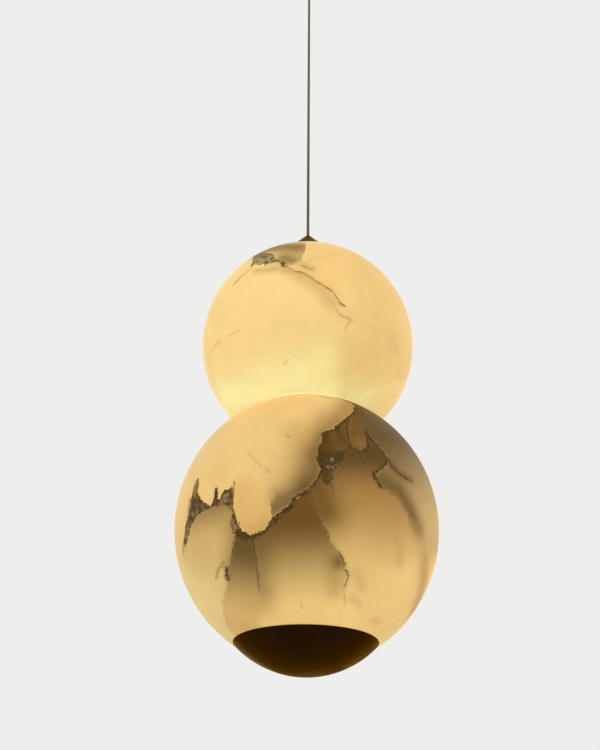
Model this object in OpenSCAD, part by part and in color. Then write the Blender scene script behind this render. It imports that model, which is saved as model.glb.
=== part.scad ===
// Pendant lamp: two hollow stone globes clamped on a central tube and hung on one thin cord.
// Millimetres, +Z up. The origin is the midpoint of the two ceiling screws, on the ceiling plane.
// From the top: ceiling fitting, cord, collar with its swivel grip, upper globe, lower globe, cap.
// The lamp is worked out downwards from the point where the cord enters the collar.

/* [Stone globes] */
// Outside diameter of the lower globe
lower_globe_d = 250; // [235:1:290]
// Outside diameter of the upper globe
upper_globe_d = 231; // [215:1:270]
// Thickness of the carved stone wall
globe_wall = 8; // [6:0.5:9]
// Diameter of the flat rims where the globes meet and where the cap closes the lower one
rim_d = 130; // [124:1:140]
// Bevel on the outer edge of each flat rim
rim_bevel = 0.8; // [0.3:0.1:1.5]
// Diameter of the hole through the crown of the upper globe
crown_hole_d = 20; // [14:0.5:24]

/* [Joint between the globes] */
// Thickness of the steel disc between the globes
joint_disc_t = 1.5; // [1:0.1:3]
// Thickness of each gasket beside that disc
joint_gasket_t = 0.5; // [0.3:0.1:1.5]
// How far the disc stays inside the rims
joint_inset = 1.2; // [0.5:0.1:3]
// Radial width of the gaskets
gasket_w = 11; // [6:0.5:13]
// Radial width of the light windows in the disc
window_w = 8; // [4:0.5:9]
// Angle of each light window
window_angle = 96; // [40:1:108]
// Number of light windows
window_count = 3; // [2:1:3]

/* [Central tube] */
// Outside diameter of the tube
tube_d = 10; // [9:0.5:11]
// Bore of the tube, for the wires
tube_bore_d = 6.5; // [5:0.1:7]
// Width across the flats of the nuts
nut_af = 14; // [13:0.5:16]
// Height of the nuts
nut_h = 5; // [4:0.5:6]
// Thickness of the load washer
washer_t = 1.6; // [1:0.1:2.5]
// Diameter of the load washer
washer_d = 26; // [20:1:36]

/* [Bottom plate and cap] */
// Thickness of the steel plate that carries the stone
plate_t = 3; // [2:0.5:4]
// How far that plate stays inside the rims
plate_inset = 9; // [8.5:0.5:11]
// Thickness of the gasket on the plate
plate_gasket_t = 0.8; // [0.4:0.1:1.5]
// How far the cap bulges below the lower globe's own sphere
cap_bulge = 8; // [6:0.5:14]
// Wall of the cap
cap_wall = 2; // [1.5:0.1:2.5]
// Gap between the cap's rim and the stone
cap_gap = 0.4; // [0.3:0.1:1]
// Gap between the cap's threaded insert and the nut above it
insert_gap = 2.8; // [2:0.2:5]
// Diameter of that insert
insert_d = 18; // [15:0.5:24]
// Thickness of the insert's solid foot
insert_foot = 2; // [1:0.5:3]

/* [Light modules] */
// Diameter of the finned heat sink
sink_d = 68; // [60:1:72]
// Thickness of the heat sink's plate
sink_plate_t = 4; // [3:0.5:6]
// Height of the fins below that plate
fin_h = 6; // [5.5:0.5:9]
// Thickness of a fin
fin_t = 1.4; // [1:0.1:1.8]
// Number of fins
fin_count = 18; // [12:2:20]
// Diameter of the heat sink's hub
hub_d = 19; // [17:0.5:20]
// Diameter of the ring-shaped circuit board
board_d = 62; // [56:1:63]
// Hole in the circuit board
board_hole_d = 27; // [26:0.5:30]
// Thickness of the circuit board
board_t = 1.6; // [1:0.1:2]
// Number of light-emitting chips
chip_count = 12; // [6:1:16]
// Side of a square chip
chip_w = 3.5; // [2:0.1:4]
// Height of a chip
chip_h = 0.8; // [0.5:0.1:1.2]
// Height of the opal diffuser ring
diffuser_h = 14; // [10:0.5:18]
// Wall of the diffuser
diffuser_wall = 1.8; // [1:0.1:2]
// Radius of the diffuser's rounded top edges
diffuser_round = 5; // [3:0.5:5.5]
// Diameter of a wire
wire_d = 1.4; // [1:0.1:1.6]
// Distance of the soldered wires from the tube's axis
wire_reach = 18; // [17:0.5:20]

/* [Collar and swivel grip] */
// Height of the bell-shaped collar above the crown
collar_h = 43; // [42:0.5:60]
// Diameter of the collar's top
collar_top_d = 6.8; // [6.5:0.1:9]
// Diameter of the collar's skirt
collar_skirt_d = 56; // [52:0.5:60]
// Slope of the collar's shoulder to the vertical, in degrees
collar_slope = 38.5; // [36:0.5:41]
// Radius where the shoulder turns into the skirt
collar_round = 7; // [3:0.5:10]
// Wall of the collar's hollow lower part
collar_wall = 2.5; // [2:0.1:3]
// Thickness of the gasket under the collar
collar_gasket_t = 0.5; // [0.3:0.1:1]
// Depth of the flared mouth in the collar's top
mouth_depth = 4; // [3:0.5:5]
// Diameter of the grip's neck
grip_neck_d = 10; // [9:0.5:11]
// Diameter of the grip's flange
grip_flange_d = 16; // [14:0.5:17]
// Thickness of the grip's flange
grip_flange_t = 3; // [2:0.5:3]
// Length of the grip's neck
grip_neck_l = 6; // [5:0.5:7]
// Depth of the grip's seat below the collar's top
seat_depth = 12.5; // [12:0.5:14]
// Outside diameter of the threaded bush under the grip
bush_d = 21; // [19:0.5:23]
// Length of that bush
bush_l = 8; // [6:0.5:10]

/* [Cord] */
// Diameter of the cord
cord_d = 3.5; // [2.8:0.1:3.6]
// Largest swing of the cord at the ceiling, in degrees
swing_angle = 12; // [5:1:14]
// Largest tilt of the lamp on the cord, in degrees
tilt_angle = 8; // [3:1:9]

/* [Ceiling fitting] */
// Diameter of the canopy
canopy_d = 120; // [118:1:150]
// Height of the canopy
canopy_h = 30; // [28:1:40]
// Wall of the canopy
canopy_wall = 1.5; // [1:0.1:2.5]
// Radius of the canopy's lower edge
canopy_round = 5; // [3:0.5:8]
// Gap between the ceiling plate and the canopy's wall
ceiling_plate_gap = 1.5; // [1:0.1:2.5]
// Thickness of the ceiling plate
ceiling_plate_t = 1.5; // [1:0.1:2]
// Distance between the two ceiling screw slots
screw_spacing = 80; // [76:1:84]
// Length of a screw slot
slot_l = 12; // [8:0.5:14]
// Width of a screw slot
slot_w = 4.5; // [4:0.1:5.5]
// Diameter of the hole for the supply cable
entry_d = 14; // [10:0.5:18]
// Drop of the bridge that carries the hanger tube
bridge_drop = 12; // [11.5:0.5:13]
// Thickness of the bridge's steel strip
bridge_t = 1.5; // [1:0.1:2]
// Width of the bridge
bridge_w = 18; // [16:0.5:20]
// Span of the bridge between its two legs
bridge_span = 34; // [30:1:36]
// Length of each foot of the bridge
bridge_foot = 10; // [8:0.5:11]
// Length of the gland below the canopy
gland_l = 20; // [19:0.5:26]
// Diameter of the gland's top
gland_d = 17; // [15:0.5:22]
// Diameter of the gland's lower end
gland_end_d = 8.4; // [7.5:0.1:10]
// Depth of the gland's thread
gland_thread_l = 9; // [7:0.5:10]
// Depth of the flared mouth in the gland
gland_mouth = 5; // [4:0.5:6]
// Number of grooves round the gland's grip band
gland_grooves = 24; // [12:1:36]

/* [Electrical parts] */
// Length of the driver
driver_l = 56; // [50:1:60]
// Width of the driver
driver_w = 26; // [22:1:28]
// Height of the driver
driver_h = 20; // [16:0.5:22]
// Length of the terminal block
block_l = 26; // [22:0.5:30]
// Width of the terminal block
block_w = 16; // [13:0.5:18]
// Height of the terminal block
block_h = 12; // [10:0.5:14]
// Distance of the driver and the terminal block from the tube's axis
side_gap = 16; // [14:0.5:18]

/* [Fits] */
// Radial clearance of threads, pins and screws in their holes
thread_clear = 0.05; // [0.02:0.01:0.15]
// Radial clearance of the turning grip and the cord in their bores
turn_clear = 0.3; // [0.2:0.05:0.5]
// Gap under the collar's shoulder, on which the lamp turns
seat_clear = 0.1; // [0.05:0.05:0.3]
// Gap between the cord's ends and the cord clamped beyond them
cord_gap = 0.5; // [0.4:0.05:0.8]

/* [Hidden] */

$fn = 96;
fine = 180;
over = 1;

// The cord hangs straight down from the gland's mouth to the collar's mouth.
cord_route = [
    [0, 0, -45], [0, 0, -111], [0, 0, -177], [0, 0, -243], [0, 0, -309],
    [0, 0, -375], [0, 0, -441], [0, 0, -507], [0, 0, -573], [0, 0, -639]
];
cord_sides = 8;
cord_steps = 8;
cord_foot = cord_route[len(cord_route) - 1];

// Heights are kept to a hundredth of a millimetre, so that faces that meet stay on one plane.
function hundredth(v) = round(100 * v) / 100;

// Heights of the lamp, from the cord's foot down
cord_r = cord_d / 2;
crown_z = cord_foot[2] + mouth_depth - collar_h;
upper_r = upper_globe_d / 2;
lower_r = lower_globe_d / 2;
rim_r = rim_d / 2;
upper_z = crown_z - upper_r;
upper_cut = hundredth(sqrt(upper_r * upper_r - rim_r * rim_r));
lower_cut = hundredth(sqrt(lower_r * lower_r - rim_r * rim_r));
upper_rim_z = upper_z - upper_cut;
disc_top_z = upper_rim_z - joint_gasket_t;
disc_z = disc_top_z - joint_disc_t;
lower_rim_z = disc_z - joint_gasket_t;
lower_z = lower_rim_z - lower_cut;
bottom_rim_z = lower_z - lower_cut;
plate_top_z = bottom_rim_z - plate_gasket_t;
plate_z = plate_top_z - plate_t;
plate_r = rim_r - plate_inset;
washer_z = plate_z - washer_t;
bottom_nut_z = washer_z - nut_h;

// The cap is part of a sphere through its rim and its lowest point.
cap_depth = lower_r + cap_bulge - lower_cut;
cap_r = hundredth((rim_r * rim_r + cap_depth * cap_depth) / (2 * cap_depth));
cap_low_z = bottom_rim_z - cap_depth;
cap_z = cap_low_z + cap_r;
insert_z = cap_low_z + cap_wall;
tube_low_z = insert_z + insert_foot + 1;
insert_top_z = bottom_nut_z - insert_gap;

// Light module, measured from the face it stands on
tube_r = tube_d / 2;
hub_r = hub_d / 2;
sink_r = sink_d / 2;
sink_h = fin_h + sink_plate_t;
board_hole_r = board_hole_d / 2;
diffuser_in_r = board_hole_r - 2;
diffuser_out_r = sink_r - 0.5;
fin_in_r = hub_r + 5;
chip_ring_r = (board_hole_r + board_d / 2) / 2;
wire_r = wire_d / 2;
wire_z = fin_h / 2;
wire_side = wire_r + 0.5;
wire_bend = 2 * wire_d;
wire_gap = 0.1;
wire_hole_r = wire_d + 0.6;

// Collar and grip, measured down from the collar's top
collar_top_z = crown_z + collar_h;
skirt_r = collar_skirt_d / 2;
skirt_drop = hundredth(upper_r - sqrt(upper_r * upper_r - skirt_r * skirt_r));
skirt_z = crown_z - skirt_drop;
shoulder_z = collar_top_z - hundredth((skirt_r - collar_top_d / 2) / tan(collar_slope));
seat_z = collar_top_z - seat_depth;
flange_top_z = seat_z - seat_clear;
flange_z = flange_top_z - grip_flange_t;
neck_top_z = flange_top_z + grip_neck_l;
bush_r = bush_d / 2;
bush_top_z = flange_z - 0.5;
bush_z = bush_top_z - bush_l;
collar_hub_r = bush_r + 4;
tube_top_z = bush_top_z - 1;
wire_end_z = tube_top_z - 4;
mouth_r = cord_r / cos(tilt_angle) + mouth_depth * tan(tilt_angle) + turn_clear;

// Ceiling fitting
ceiling_plate_r = canopy_d / 2 - canopy_wall - ceiling_plate_gap;
bridge_top_z = -ceiling_plate_t - bridge_drop;
bridge_z = bridge_top_z - bridge_t;
hanger_top_z = bridge_top_z + nut_h + 0.5;
gland_top_z = -canopy_h;
gland_band = 6;
gland_step = 1;
groove_end = 0.8;
gland_low_z = gland_top_z - gland_l;
gland_pivot_z = gland_low_z + gland_mouth;
hanger_low_z = gland_top_z - gland_thread_l + 0.5;
gland_mouth_r = cord_r / cos(swing_angle) + gland_mouth * tan(swing_angle) + turn_clear;
gland_screw_z = (gland_pivot_z + gland_top_z - gland_thread_l) / 2;
screw_r = 1.5;
socket_depth = 1.2;
tail_bend = 2 * cord_d;
tail_z = -ceiling_plate_t - wire_gap - cord_r;
driver_y = side_gap;
block_y = -side_gap - block_w - 4;
block_top_z = -ceiling_plate_t;
block_hole_z = block_top_z - 4.5;
block_hole_r = 1.7;
block_hole_l = 4.2;
block_screw_r = 1.9;
block_edge = 4;
block_slit = 1.2;
block_pitch = block_l / 3;
fixing_r = 1.6;
head_r = 3.2;
head_h = 2;
entry_x = 30;
entry_y = -25;
rivet_r = 1.6;
bridge_slope = 3;
rivet_x = bridge_span / 2 + bridge_foot / 2;
fixing_x = driver_l / 2 - 4;
lug_t = 3;
lug_w = 9;
vent_w = 2;
vent_pitch = 7;
tag_r = 4.5;
tag_t = 1;

// A ring or tube about the Z axis, standing on z
module ring(r_out, r_in, z, h, facets = $fn) {
    translate([0, 0, z]) difference() {
        cylinder(r = r_out, h = h, $fn = facets);
        translate([0, 0, -over]) cylinder(r = r_in, h = h + 2 * over, $fn = facets);
    }
}

// A hexagon nut with bevelled corners, standing on z
module hex_nut(z) {
    face_r = nut_af / 2 - 0.2;
    translate([0, 0, z]) difference() {
        intersection() {
            cylinder(d = nut_af / cos(30), h = nut_h, $fn = 6);
            cylinder(r1 = face_r, r2 = face_r + 2 * nut_h, h = nut_h);
            cylinder(r1 = face_r + 2 * nut_h, r2 = face_r, h = nut_h);
        }
        translate([0, 0, -over]) cylinder(r = tube_r + thread_clear, h = nut_h + 2 * over);
    }
}

// A pan-head screw that hangs head down from z, with its shank reaching up by shank
module pan_screw(x, y, z, shank) {
    translate([x, y, z]) difference() {
        union() {
            translate([0, 0, -head_h]) cylinder(r = head_r, h = head_h, $fn = 48);
            cylinder(r = fixing_r - thread_clear, h = shank, $fn = 48);
        }
        translate([-head_r - 0.5, -0.4, -head_h - over]) cube([2 * head_r + 1, 0.8, over + 0.8]);
    }
}

// A wire or cord bend: a quarter turn in the XZ plane, from +Z at x = 0 to +X at z = bend
module quarter_bend(r, bend) {
    translate([bend, 0, 0]) rotate([90, 0, 0]) rotate([0, 0, 90]) rotate_extrude(angle = 90, $fn = 48)
        translate([bend, 0]) circle(r = r, $fn = 24);
}

// A hollow globe about z, with one flat rim at each given side and a bevel on its edge
module stone_globe(r, z, cut, rim_above, rim_below) {
    translate([0, 0, z]) difference() {
        sphere(r = r, $fn = fine);
        sphere(r = r - globe_wall, $fn = fine);
        if (rim_above) rim_cut(r, cut);
        if (rim_below) mirror([0, 0, 1]) rim_cut(r, cut);
    }
}

// What is taken off a globe above its flat rim at cut: the rest of the sphere and the edge's bevel
module rim_cut(r, cut) {
    inner = [rim_r - rim_bevel, cut];
    outer = [sqrt(r * r - (cut - rim_bevel) * (cut - rim_bevel)), cut - rim_bevel];
    past = outer + (outer - inner);
    translate([0, 0, cut]) cylinder(r = r, h = r);
    rotate_extrude($fn = fine) polygon([inner, past, [past[0], cut + over], [inner[0], cut + over]]);
}

// A strip with two rounded top corners
module arch_profile(w, h, r) {
    square([w, h - r]);
    translate([r, 0]) square([w - 2 * r, h]);
    translate([r, h - r]) circle(r = r, $fn = 48);
    translate([w - r, h - r]) circle(r = r, $fn = 48);
}

// Finned heat sink of a light module that stands on z
module heat_sink(z) {
    translate([0, 0, z]) difference() {
        union() {
            cylinder(r = hub_r, h = sink_h);
            translate([0, 0, fin_h]) cylinder(r = sink_r, h = sink_plate_t);
            for (i = [0 : fin_count - 1]) rotate([0, 0, (i + 0.5) * 360 / fin_count])
                translate([fin_in_r, -fin_t / 2, 0]) cube([sink_r - 1 - fin_in_r, fin_t, fin_h + over]);
        }
        translate([0, 0, -over]) cylinder(r = tube_r + thread_clear, h = sink_h + 2 * over);
        translate([0, 0, wire_z]) rotate([0, 90, 0]) cylinder(r = wire_hole_r, h = hub_r + over, $fn = 48);
        translate([wire_reach, 0, fin_h - over])
            cylinder(r = wire_hole_r, h = sink_plate_t + 2 * over, $fn = 48);
    }
}

// Ring-shaped circuit board with its chips, on a heat sink that stands on z
module led_board(z) {
    ring(board_d / 2, board_hole_r, z + sink_h, board_t);
    for (i = [0 : chip_count - 1]) rotate([0, 0, (i + 0.5) * 360 / chip_count])
        translate([chip_ring_r - chip_w / 2, -chip_w / 2, z + sink_h + board_t / 2])
            cube([chip_w, chip_w, board_t / 2 + chip_h]);
}

// Opal ring over the chips, open in the middle for the nut
module diffuser(z) {
    w = diffuser_out_r - diffuser_in_r;
    translate([0, 0, z + sink_h]) rotate_extrude($fn = fine) translate([diffuser_in_r, 0]) difference() {
        arch_profile(w, diffuser_h, diffuser_round);
        translate([diffuser_wall, -over]) arch_profile(w - 2 * diffuser_wall,
            diffuser_h - diffuser_wall + over, diffuser_round - diffuser_wall);
    }
}

// Two wires of a light module: down the tube at x, out through the hub and up to the board
module wire_pair(z, x) {
    low = wire_z + wire_bend;
    run = wire_reach - x - 2 * wire_bend;
    for (s = [-1, 1]) translate([0, s * (wire_r + wire_gap), z]) {
        translate([x, 0, low]) cylinder(r = wire_r, h = wire_end_z - z - low, $fn = 24);
        translate([x, 0, low]) mirror([0, 0, 1]) quarter_bend(wire_r, wire_bend);
        translate([x + wire_bend, 0, wire_z]) rotate([0, 90, 0]) cylinder(r = wire_r, h = run, $fn = 24);
        translate([wire_reach, 0, low]) mirror([1, 0, 0]) mirror([0, 0, 1])
            quarter_bend(wire_r, wire_bend);
        translate([wire_reach, 0, low]) cylinder(r = wire_r, h = sink_h - low, $fn = 24);
    }
}

// The collar's side from its top down to the skirt, moved inwards by the given wall
function collar_side(wall) =
    let (edge = tan(collar_slope / 2) * collar_round, steps = 6)
    concat([[collar_top_d / 2 - wall / cos(collar_slope), collar_top_z]],
        [for (i = [steps : -1 : 0]) let (turn = collar_slope * i / steps)
            [skirt_r - collar_round + (collar_round - wall) * cos(turn),
            shoulder_z - edge + (collar_round - wall) * sin(turn)]],
        [[skirt_r - wall, skirt_z - over]]);

// Points round the cord at a place on its straight vertical route
function cord_ring(p) = [for (k = [0 : cord_sides - 1])
    [p[0] + cord_r * cos(360 * k / cord_sides), p[1] + cord_r * sin(360 * k / cord_sides), p[2]]];

// Places of the rings along the route
function cord_stations(route, steps) = concat(
    [for (i = [0 : len(route) - 2], k = [0 : steps - 1]) route[i] + (route[i + 1] - route[i]) * k / steps],
    [route[len(route) - 1]]);

module ceiling_plate() {
    color("lightsteelblue") difference() {
        translate([0, 0, -ceiling_plate_t]) cylinder(r = ceiling_plate_r, h = ceiling_plate_t);
        for (s = [-1, 1]) translate([s * screw_spacing / 2, 0, -ceiling_plate_t - over]) {
            for (e = [-1, 1]) translate([e * (slot_l - slot_w) / 2, 0, 0])
                cylinder(d = slot_w, h = ceiling_plate_t + 2 * over, $fn = 48);
            translate([-(slot_l - slot_w) / 2, -slot_w / 2, 0])
                cube([slot_l - slot_w, slot_w, ceiling_plate_t + 2 * over]);
        }
        translate([entry_x, entry_y, -ceiling_plate_t - over])
            cylinder(d = entry_d, h = ceiling_plate_t + 2 * over, $fn = 48);
        plate_fixings() cylinder(r = fixing_r, h = 2 * ceiling_plate_t + 2 * over, center = true, $fn = 48);
        for (s = [-1, 1]) translate([s * rivet_x, 0, -ceiling_plate_t - over])
            cylinder(r = rivet_r, h = ceiling_plate_t + 2 * over, $fn = 48);
    }
}

// Places of the small screws in the ceiling plate: driver, terminal block and earth
module plate_fixings() {
    for (s = [-1, 1]) translate([s * fixing_x, driver_y + driver_w / 2, 0]) children();
    translate([0, block_y + block_w / 2, 0]) children();
    translate([-entry_x, entry_y, 0]) children();
}

module hanger_bridge() {
    top = -ceiling_plate_t;
    half = bridge_span / 2;
    foot = half + bridge_foot;
    leg = half - bridge_slope;
    color("lightsteelblue") difference() {
        rotate([90, 0, 0]) linear_extrude(height = bridge_w, center = true) polygon([
            [-foot, top], [-half, top], [-leg, bridge_top_z],
            [leg, bridge_top_z], [half, top], [foot, top],
            [foot, top - bridge_t], [half + bridge_t, top - bridge_t], [leg + bridge_t, bridge_z],
            [-leg - bridge_t, bridge_z], [-half - bridge_t, top - bridge_t], [-foot, top - bridge_t]]);
        translate([0, 0, bridge_z - over]) cylinder(r = tube_r + thread_clear, h = bridge_t + 2 * over);
        for (s = [-1, 1]) translate([s * rivet_x, 0, top - bridge_t - over])
            cylinder(r = rivet_r, h = bridge_t + 2 * over, $fn = 48);
    }
}

module bridge_rivets() {
    head = 1;
    color("silver") for (s = [-1, 1]) translate([s * rivet_x, 0, -ceiling_plate_t - bridge_t]) {
        cylinder(r = rivet_r - thread_clear, h = ceiling_plate_t + bridge_t, $fn = 48);
        translate([0, 0, -head]) cylinder(r1 = 2, r2 = 3, h = head, $fn = 48);
    }
}

module hanger_tube() {
    color("silver") ring(tube_r, tube_bore_d / 2, hanger_low_z, hanger_top_z - hanger_low_z);
}

module hanger_nuts() {
    color("silver") {
        hex_nut(bridge_top_z);
        hex_nut(bridge_z - nut_h);
    }
}

module canopy() {
    r = canopy_d / 2;
    color([0.2, 0.15, 0.08]) rotate_extrude($fn = fine) difference() {
        union() {
            translate([0, -canopy_h + canopy_round]) square([r, canopy_h - canopy_round]);
            translate([0, -canopy_h]) square([r - canopy_round, canopy_h]);
            translate([r - canopy_round, -canopy_h + canopy_round]) circle(r = canopy_round, $fn = 64);
        }
        translate([0, -canopy_h + canopy_round]) square([r - canopy_wall, canopy_h]);
        translate([0, -canopy_h + canopy_wall]) square([r - canopy_round, canopy_h]);
        translate([r - canopy_round, -canopy_h + canopy_round])
            circle(r = canopy_round - canopy_wall, $fn = 64);
        translate([0, -canopy_h - over]) square([tube_r + 0.2, canopy_h]);
    }
}

module cord_gland() {
    top_r = gland_d / 2;
    end_r = gland_end_d / 2;
    neck_z = gland_top_z - gland_band - gland_step;
    bore_r = cord_r + turn_clear;
    color([0.2, 0.15, 0.08]) difference() {
        rotate_extrude() polygon([
            [0, gland_top_z], [top_r, gland_top_z], [top_r, gland_top_z - gland_band],
            [top_r - gland_step, neck_z],
            for (t = [0 : 0.1 : 1]) [end_r + (top_r - 2 * gland_step - end_r) * (1 - t) * (1 - t),
                neck_z + (gland_low_z - neck_z) * t],
            [0, gland_low_z]]);
        for (i = [0 : gland_grooves - 1]) rotate([0, 0, i * 360 / gland_grooves])
            translate([top_r + 0.3, 0, gland_top_z - gland_band + groove_end])
                rotate([0, 0, 45]) cube([1, 1, gland_band - 2 * groove_end]);
        translate([0, 0, gland_top_z - gland_thread_l])
            cylinder(r = tube_r + thread_clear, h = gland_thread_l + over);
        translate([0, 0, gland_pivot_z - over]) cylinder(r = bore_r, h = gland_l, $fn = 48);
        translate([0, 0, gland_low_z]) cylinder(r1 = gland_mouth_r, r2 = bore_r, h = gland_mouth, $fn = 48);
        translate([0, 0, gland_low_z - over]) cylinder(r = gland_mouth_r, h = over, $fn = 48);
        translate([0, 0, gland_screw_z]) rotate([90, 0, 0])
            cylinder(r = screw_r + thread_clear, h = gland_d, $fn = 48);
    }
}

// A socket-head grub screw along -Y that presses on the cord, from x = 0 at height z
module grub_screw(z, reach) {
    tip = cord_r + wire_gap;
    translate([0, 0, z]) rotate([90, 0, 0]) difference() {
        translate([0, 0, tip]) cylinder(r = screw_r, h = reach - tip, $fn = 48);
        translate([0, 0, reach - socket_depth]) cylinder(r = 0.8, h = socket_depth + over, $fn = 6);
    }
}

module gland_screw() {
    color("dimgray") grub_screw(gland_screw_z, gland_end_d / 2 + 0.4);
}

module cord_tail() {
    run = driver_y - tail_bend;
    color([0.16, 0.12, 0.07]) rotate([0, 0, 90]) {
        translate([0, 0, gland_pivot_z + cord_gap])
            cylinder(r = cord_r, h = tail_z - tail_bend - gland_pivot_z - cord_gap, $fn = 48);
        translate([0, 0, tail_z - tail_bend]) quarter_bend(cord_r, tail_bend);
        translate([tail_bend, 0, tail_z]) rotate([0, 90, 0]) cylinder(r = cord_r, h = run, $fn = 48);
    }
}

module led_driver() {
    low_z = -ceiling_plate_t - driver_h;
    color("whitesmoke") difference() {
        translate([-driver_l / 2, driver_y, low_z]) cube([driver_l, driver_w, driver_h]);
        for (s = [-1, 1]) translate([s * fixing_x, driver_y + driver_w / 2, 0]) {
            translate([-lug_w / 2, -driver_w, low_z - over])
                cube([lug_w, 2 * driver_w, driver_h - lug_t + over]);
            translate([0, 0, low_z]) cylinder(r = fixing_r, h = driver_h + over, $fn = 48);
        }
        for (i = [-2 : 2]) translate([i * vent_pitch - vent_w / 2, driver_y + driver_w - 1, low_z + lug_t])
            cube([vent_w, 1 + over, driver_h - 2 * lug_t]);
    }
}

module driver_screws() {
    color("silver") for (s = [-1, 1])
        pan_screw(s * fixing_x, driver_y + driver_w / 2, -ceiling_plate_t - lug_t, lug_t + ceiling_plate_t);
}

module terminal_block() {
    low_z = block_top_z - block_h;
    color("ivory") difference() {
        translate([-block_l / 2, block_y, low_z]) cube([block_l, block_w, block_h]);
        for (i = [-1 : 1], y = [-over, block_w - block_hole_l])
            translate([i * block_pitch, block_y + y, block_hole_z])
                rotate([-90, 0, 0]) cylinder(r = block_hole_r, h = block_hole_l + over, $fn = 48);
        for (s = [-1, 1], y = [block_edge, block_w - block_edge])
            translate([s * block_pitch, block_y + y, low_z - over])
                cylinder(r = block_screw_r, h = block_hole_z - low_z + over, $fn = 48);
        for (s = [-0.5, 0.5])
            translate([s * block_pitch - block_slit / 2, block_y - over, low_z - over])
                cube([block_slit, block_w + 2 * over, block_edge + over]);
        translate([0, block_y + block_w / 2, low_z - over])
            cylinder(r = head_r + turn_clear, h = block_h - block_edge + over, $fn = 48);
        translate([0, block_y + block_w / 2, low_z]) cylinder(r = fixing_r, h = block_h + over, $fn = 48);
    }
}

module terminal_screws() {
    low_z = block_top_z - block_h + 0.8;
    high_z = block_hole_z - wire_r - wire_gap;
    color("gold") {
        for (s = [-1, 1], y = [block_edge, block_w - block_edge])
            translate([s * block_pitch, block_y + y, low_z]) difference() {
                cylinder(r = block_screw_r - thread_clear, h = high_z - low_z, $fn = 48);
                translate([-3, -0.3, -over]) cube([6, 0.6, over + 0.8]);
            }
        pan_screw(0, block_y + block_w / 2, block_top_z - block_edge, block_edge + ceiling_plate_t);
    }
}

module earth_screw() {
    color("gold") {
        pan_screw(-entry_x, entry_y, -ceiling_plate_t - tag_t, tag_t + ceiling_plate_t);
        translate([-entry_x, entry_y, 0]) ring(tag_r, fixing_r, -ceiling_plate_t - tag_t, tag_t, 48);
    }
}

// The driver's two mains leads, from its near face to the terminal block
module driver_leads() {
    run = driver_y - block_y - block_w + block_hole_l;
    color("saddlebrown") for (s = [-1, 1]) translate([s * block_pitch, driver_y, block_hole_z])
        rotate([90, 0, 0]) cylinder(r = wire_r, h = run, $fn = 24);
}

module suspension_cord() {
    stations = cord_stations(cord_route, cord_steps);
    n = len(stations);
    m = cord_sides;
    points = [for (s = stations, p = cord_ring(s)) p];
    sides = [for (i = [0 : n - 2], k = [0 : m - 1])
        [i * m + k, i * m + (k + 1) % m, (i + 1) * m + (k + 1) % m, (i + 1) * m + k]];
    top = [for (k = [m - 1 : -1 : 0]) k];
    foot = [for (k = [0 : m - 1]) (n - 1) * m + k];
    color([0.16, 0.12, 0.07]) polyhedron(points = points, faces = concat(sides, [top, foot]));
}

module cord_grip() {
    color("goldenrod") difference() {
        union() {
            translate([0, 0, flange_z]) cylinder(d = grip_flange_d, h = grip_flange_t);
            translate([0, 0, flange_top_z - over]) cylinder(d = grip_neck_d, h = grip_neck_l - 0.5 + over);
            translate([0, 0, neck_top_z - 0.5])
                cylinder(d1 = grip_neck_d, d2 = grip_neck_d - 1, h = 0.5);
        }
        translate([0, 0, flange_z - over])
            cylinder(r = cord_r + thread_clear, h = grip_flange_t + grip_neck_l + 2 * over, $fn = 48);
        translate([0, 0, flange_top_z + grip_neck_l / 2]) rotate([90, 0, 0])
            cylinder(r = screw_r + thread_clear, h = grip_neck_d, $fn = 48);
    }
}

module grip_screw() {
    color("dimgray") grub_screw(flange_top_z + grip_neck_l / 2, grip_neck_d / 2 - 0.2);
}

module cord_end() {
    low = wire_end_z + 0.5;
    color([0.16, 0.12, 0.07]) translate([0, 0, low])
        cylinder(r = cord_r, h = cord_foot[2] - cord_gap - low, $fn = 48);
}

module collar() {
    color([0.2, 0.15, 0.08]) difference() {
        rotate_extrude($fn = fine)
            polygon(concat([[0, collar_top_z]], collar_side(0), [[0, skirt_z - over]]));
        // The underside follows the crown, with room for the gasket.
        translate([0, 0, upper_z]) sphere(r = upper_r + collar_gasket_t, $fn = fine);
        // Hollow bell below the hub, with the hub's foot left standing in it
        rotate_extrude($fn = fine) difference() {
            polygon(concat([[0, collar_top_z]], collar_side(collar_wall), [[0, skirt_z - over]]));
            translate([-over, bush_z]) square([collar_hub_r + over, collar_h]);
            translate([-over, bush_top_z]) square([skirt_r, collar_h]);
        }
        // Flared mouth, cord bore, neck bore, flange chamber and bush thread
        translate([0, 0, cord_foot[2]]) cylinder(r1 = cord_r + turn_clear, r2 = mouth_r,
            h = mouth_depth, $fn = 48);
        translate([0, 0, collar_top_z]) cylinder(r = mouth_r, h = over, $fn = 48);
        translate([0, 0, seat_z]) cylinder(r = cord_r + turn_clear, h = cord_foot[2] - seat_z, $fn = 48);
        translate([0, 0, seat_z - over])
            cylinder(r = grip_neck_d / 2 + turn_clear, h = grip_neck_l + turn_clear + over);
        translate([0, 0, flange_z - over])
            cylinder(r = grip_flange_d / 2 + turn_clear, h = seat_z - flange_z + over);
        translate([0, 0, bush_z - over])
            cylinder(r = bush_r + thread_clear, h = bush_l + over);
    }
}

module collar_bush() {
    color("goldenrod") ring(bush_r, tube_r + thread_clear, bush_z, bush_l);
}

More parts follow.
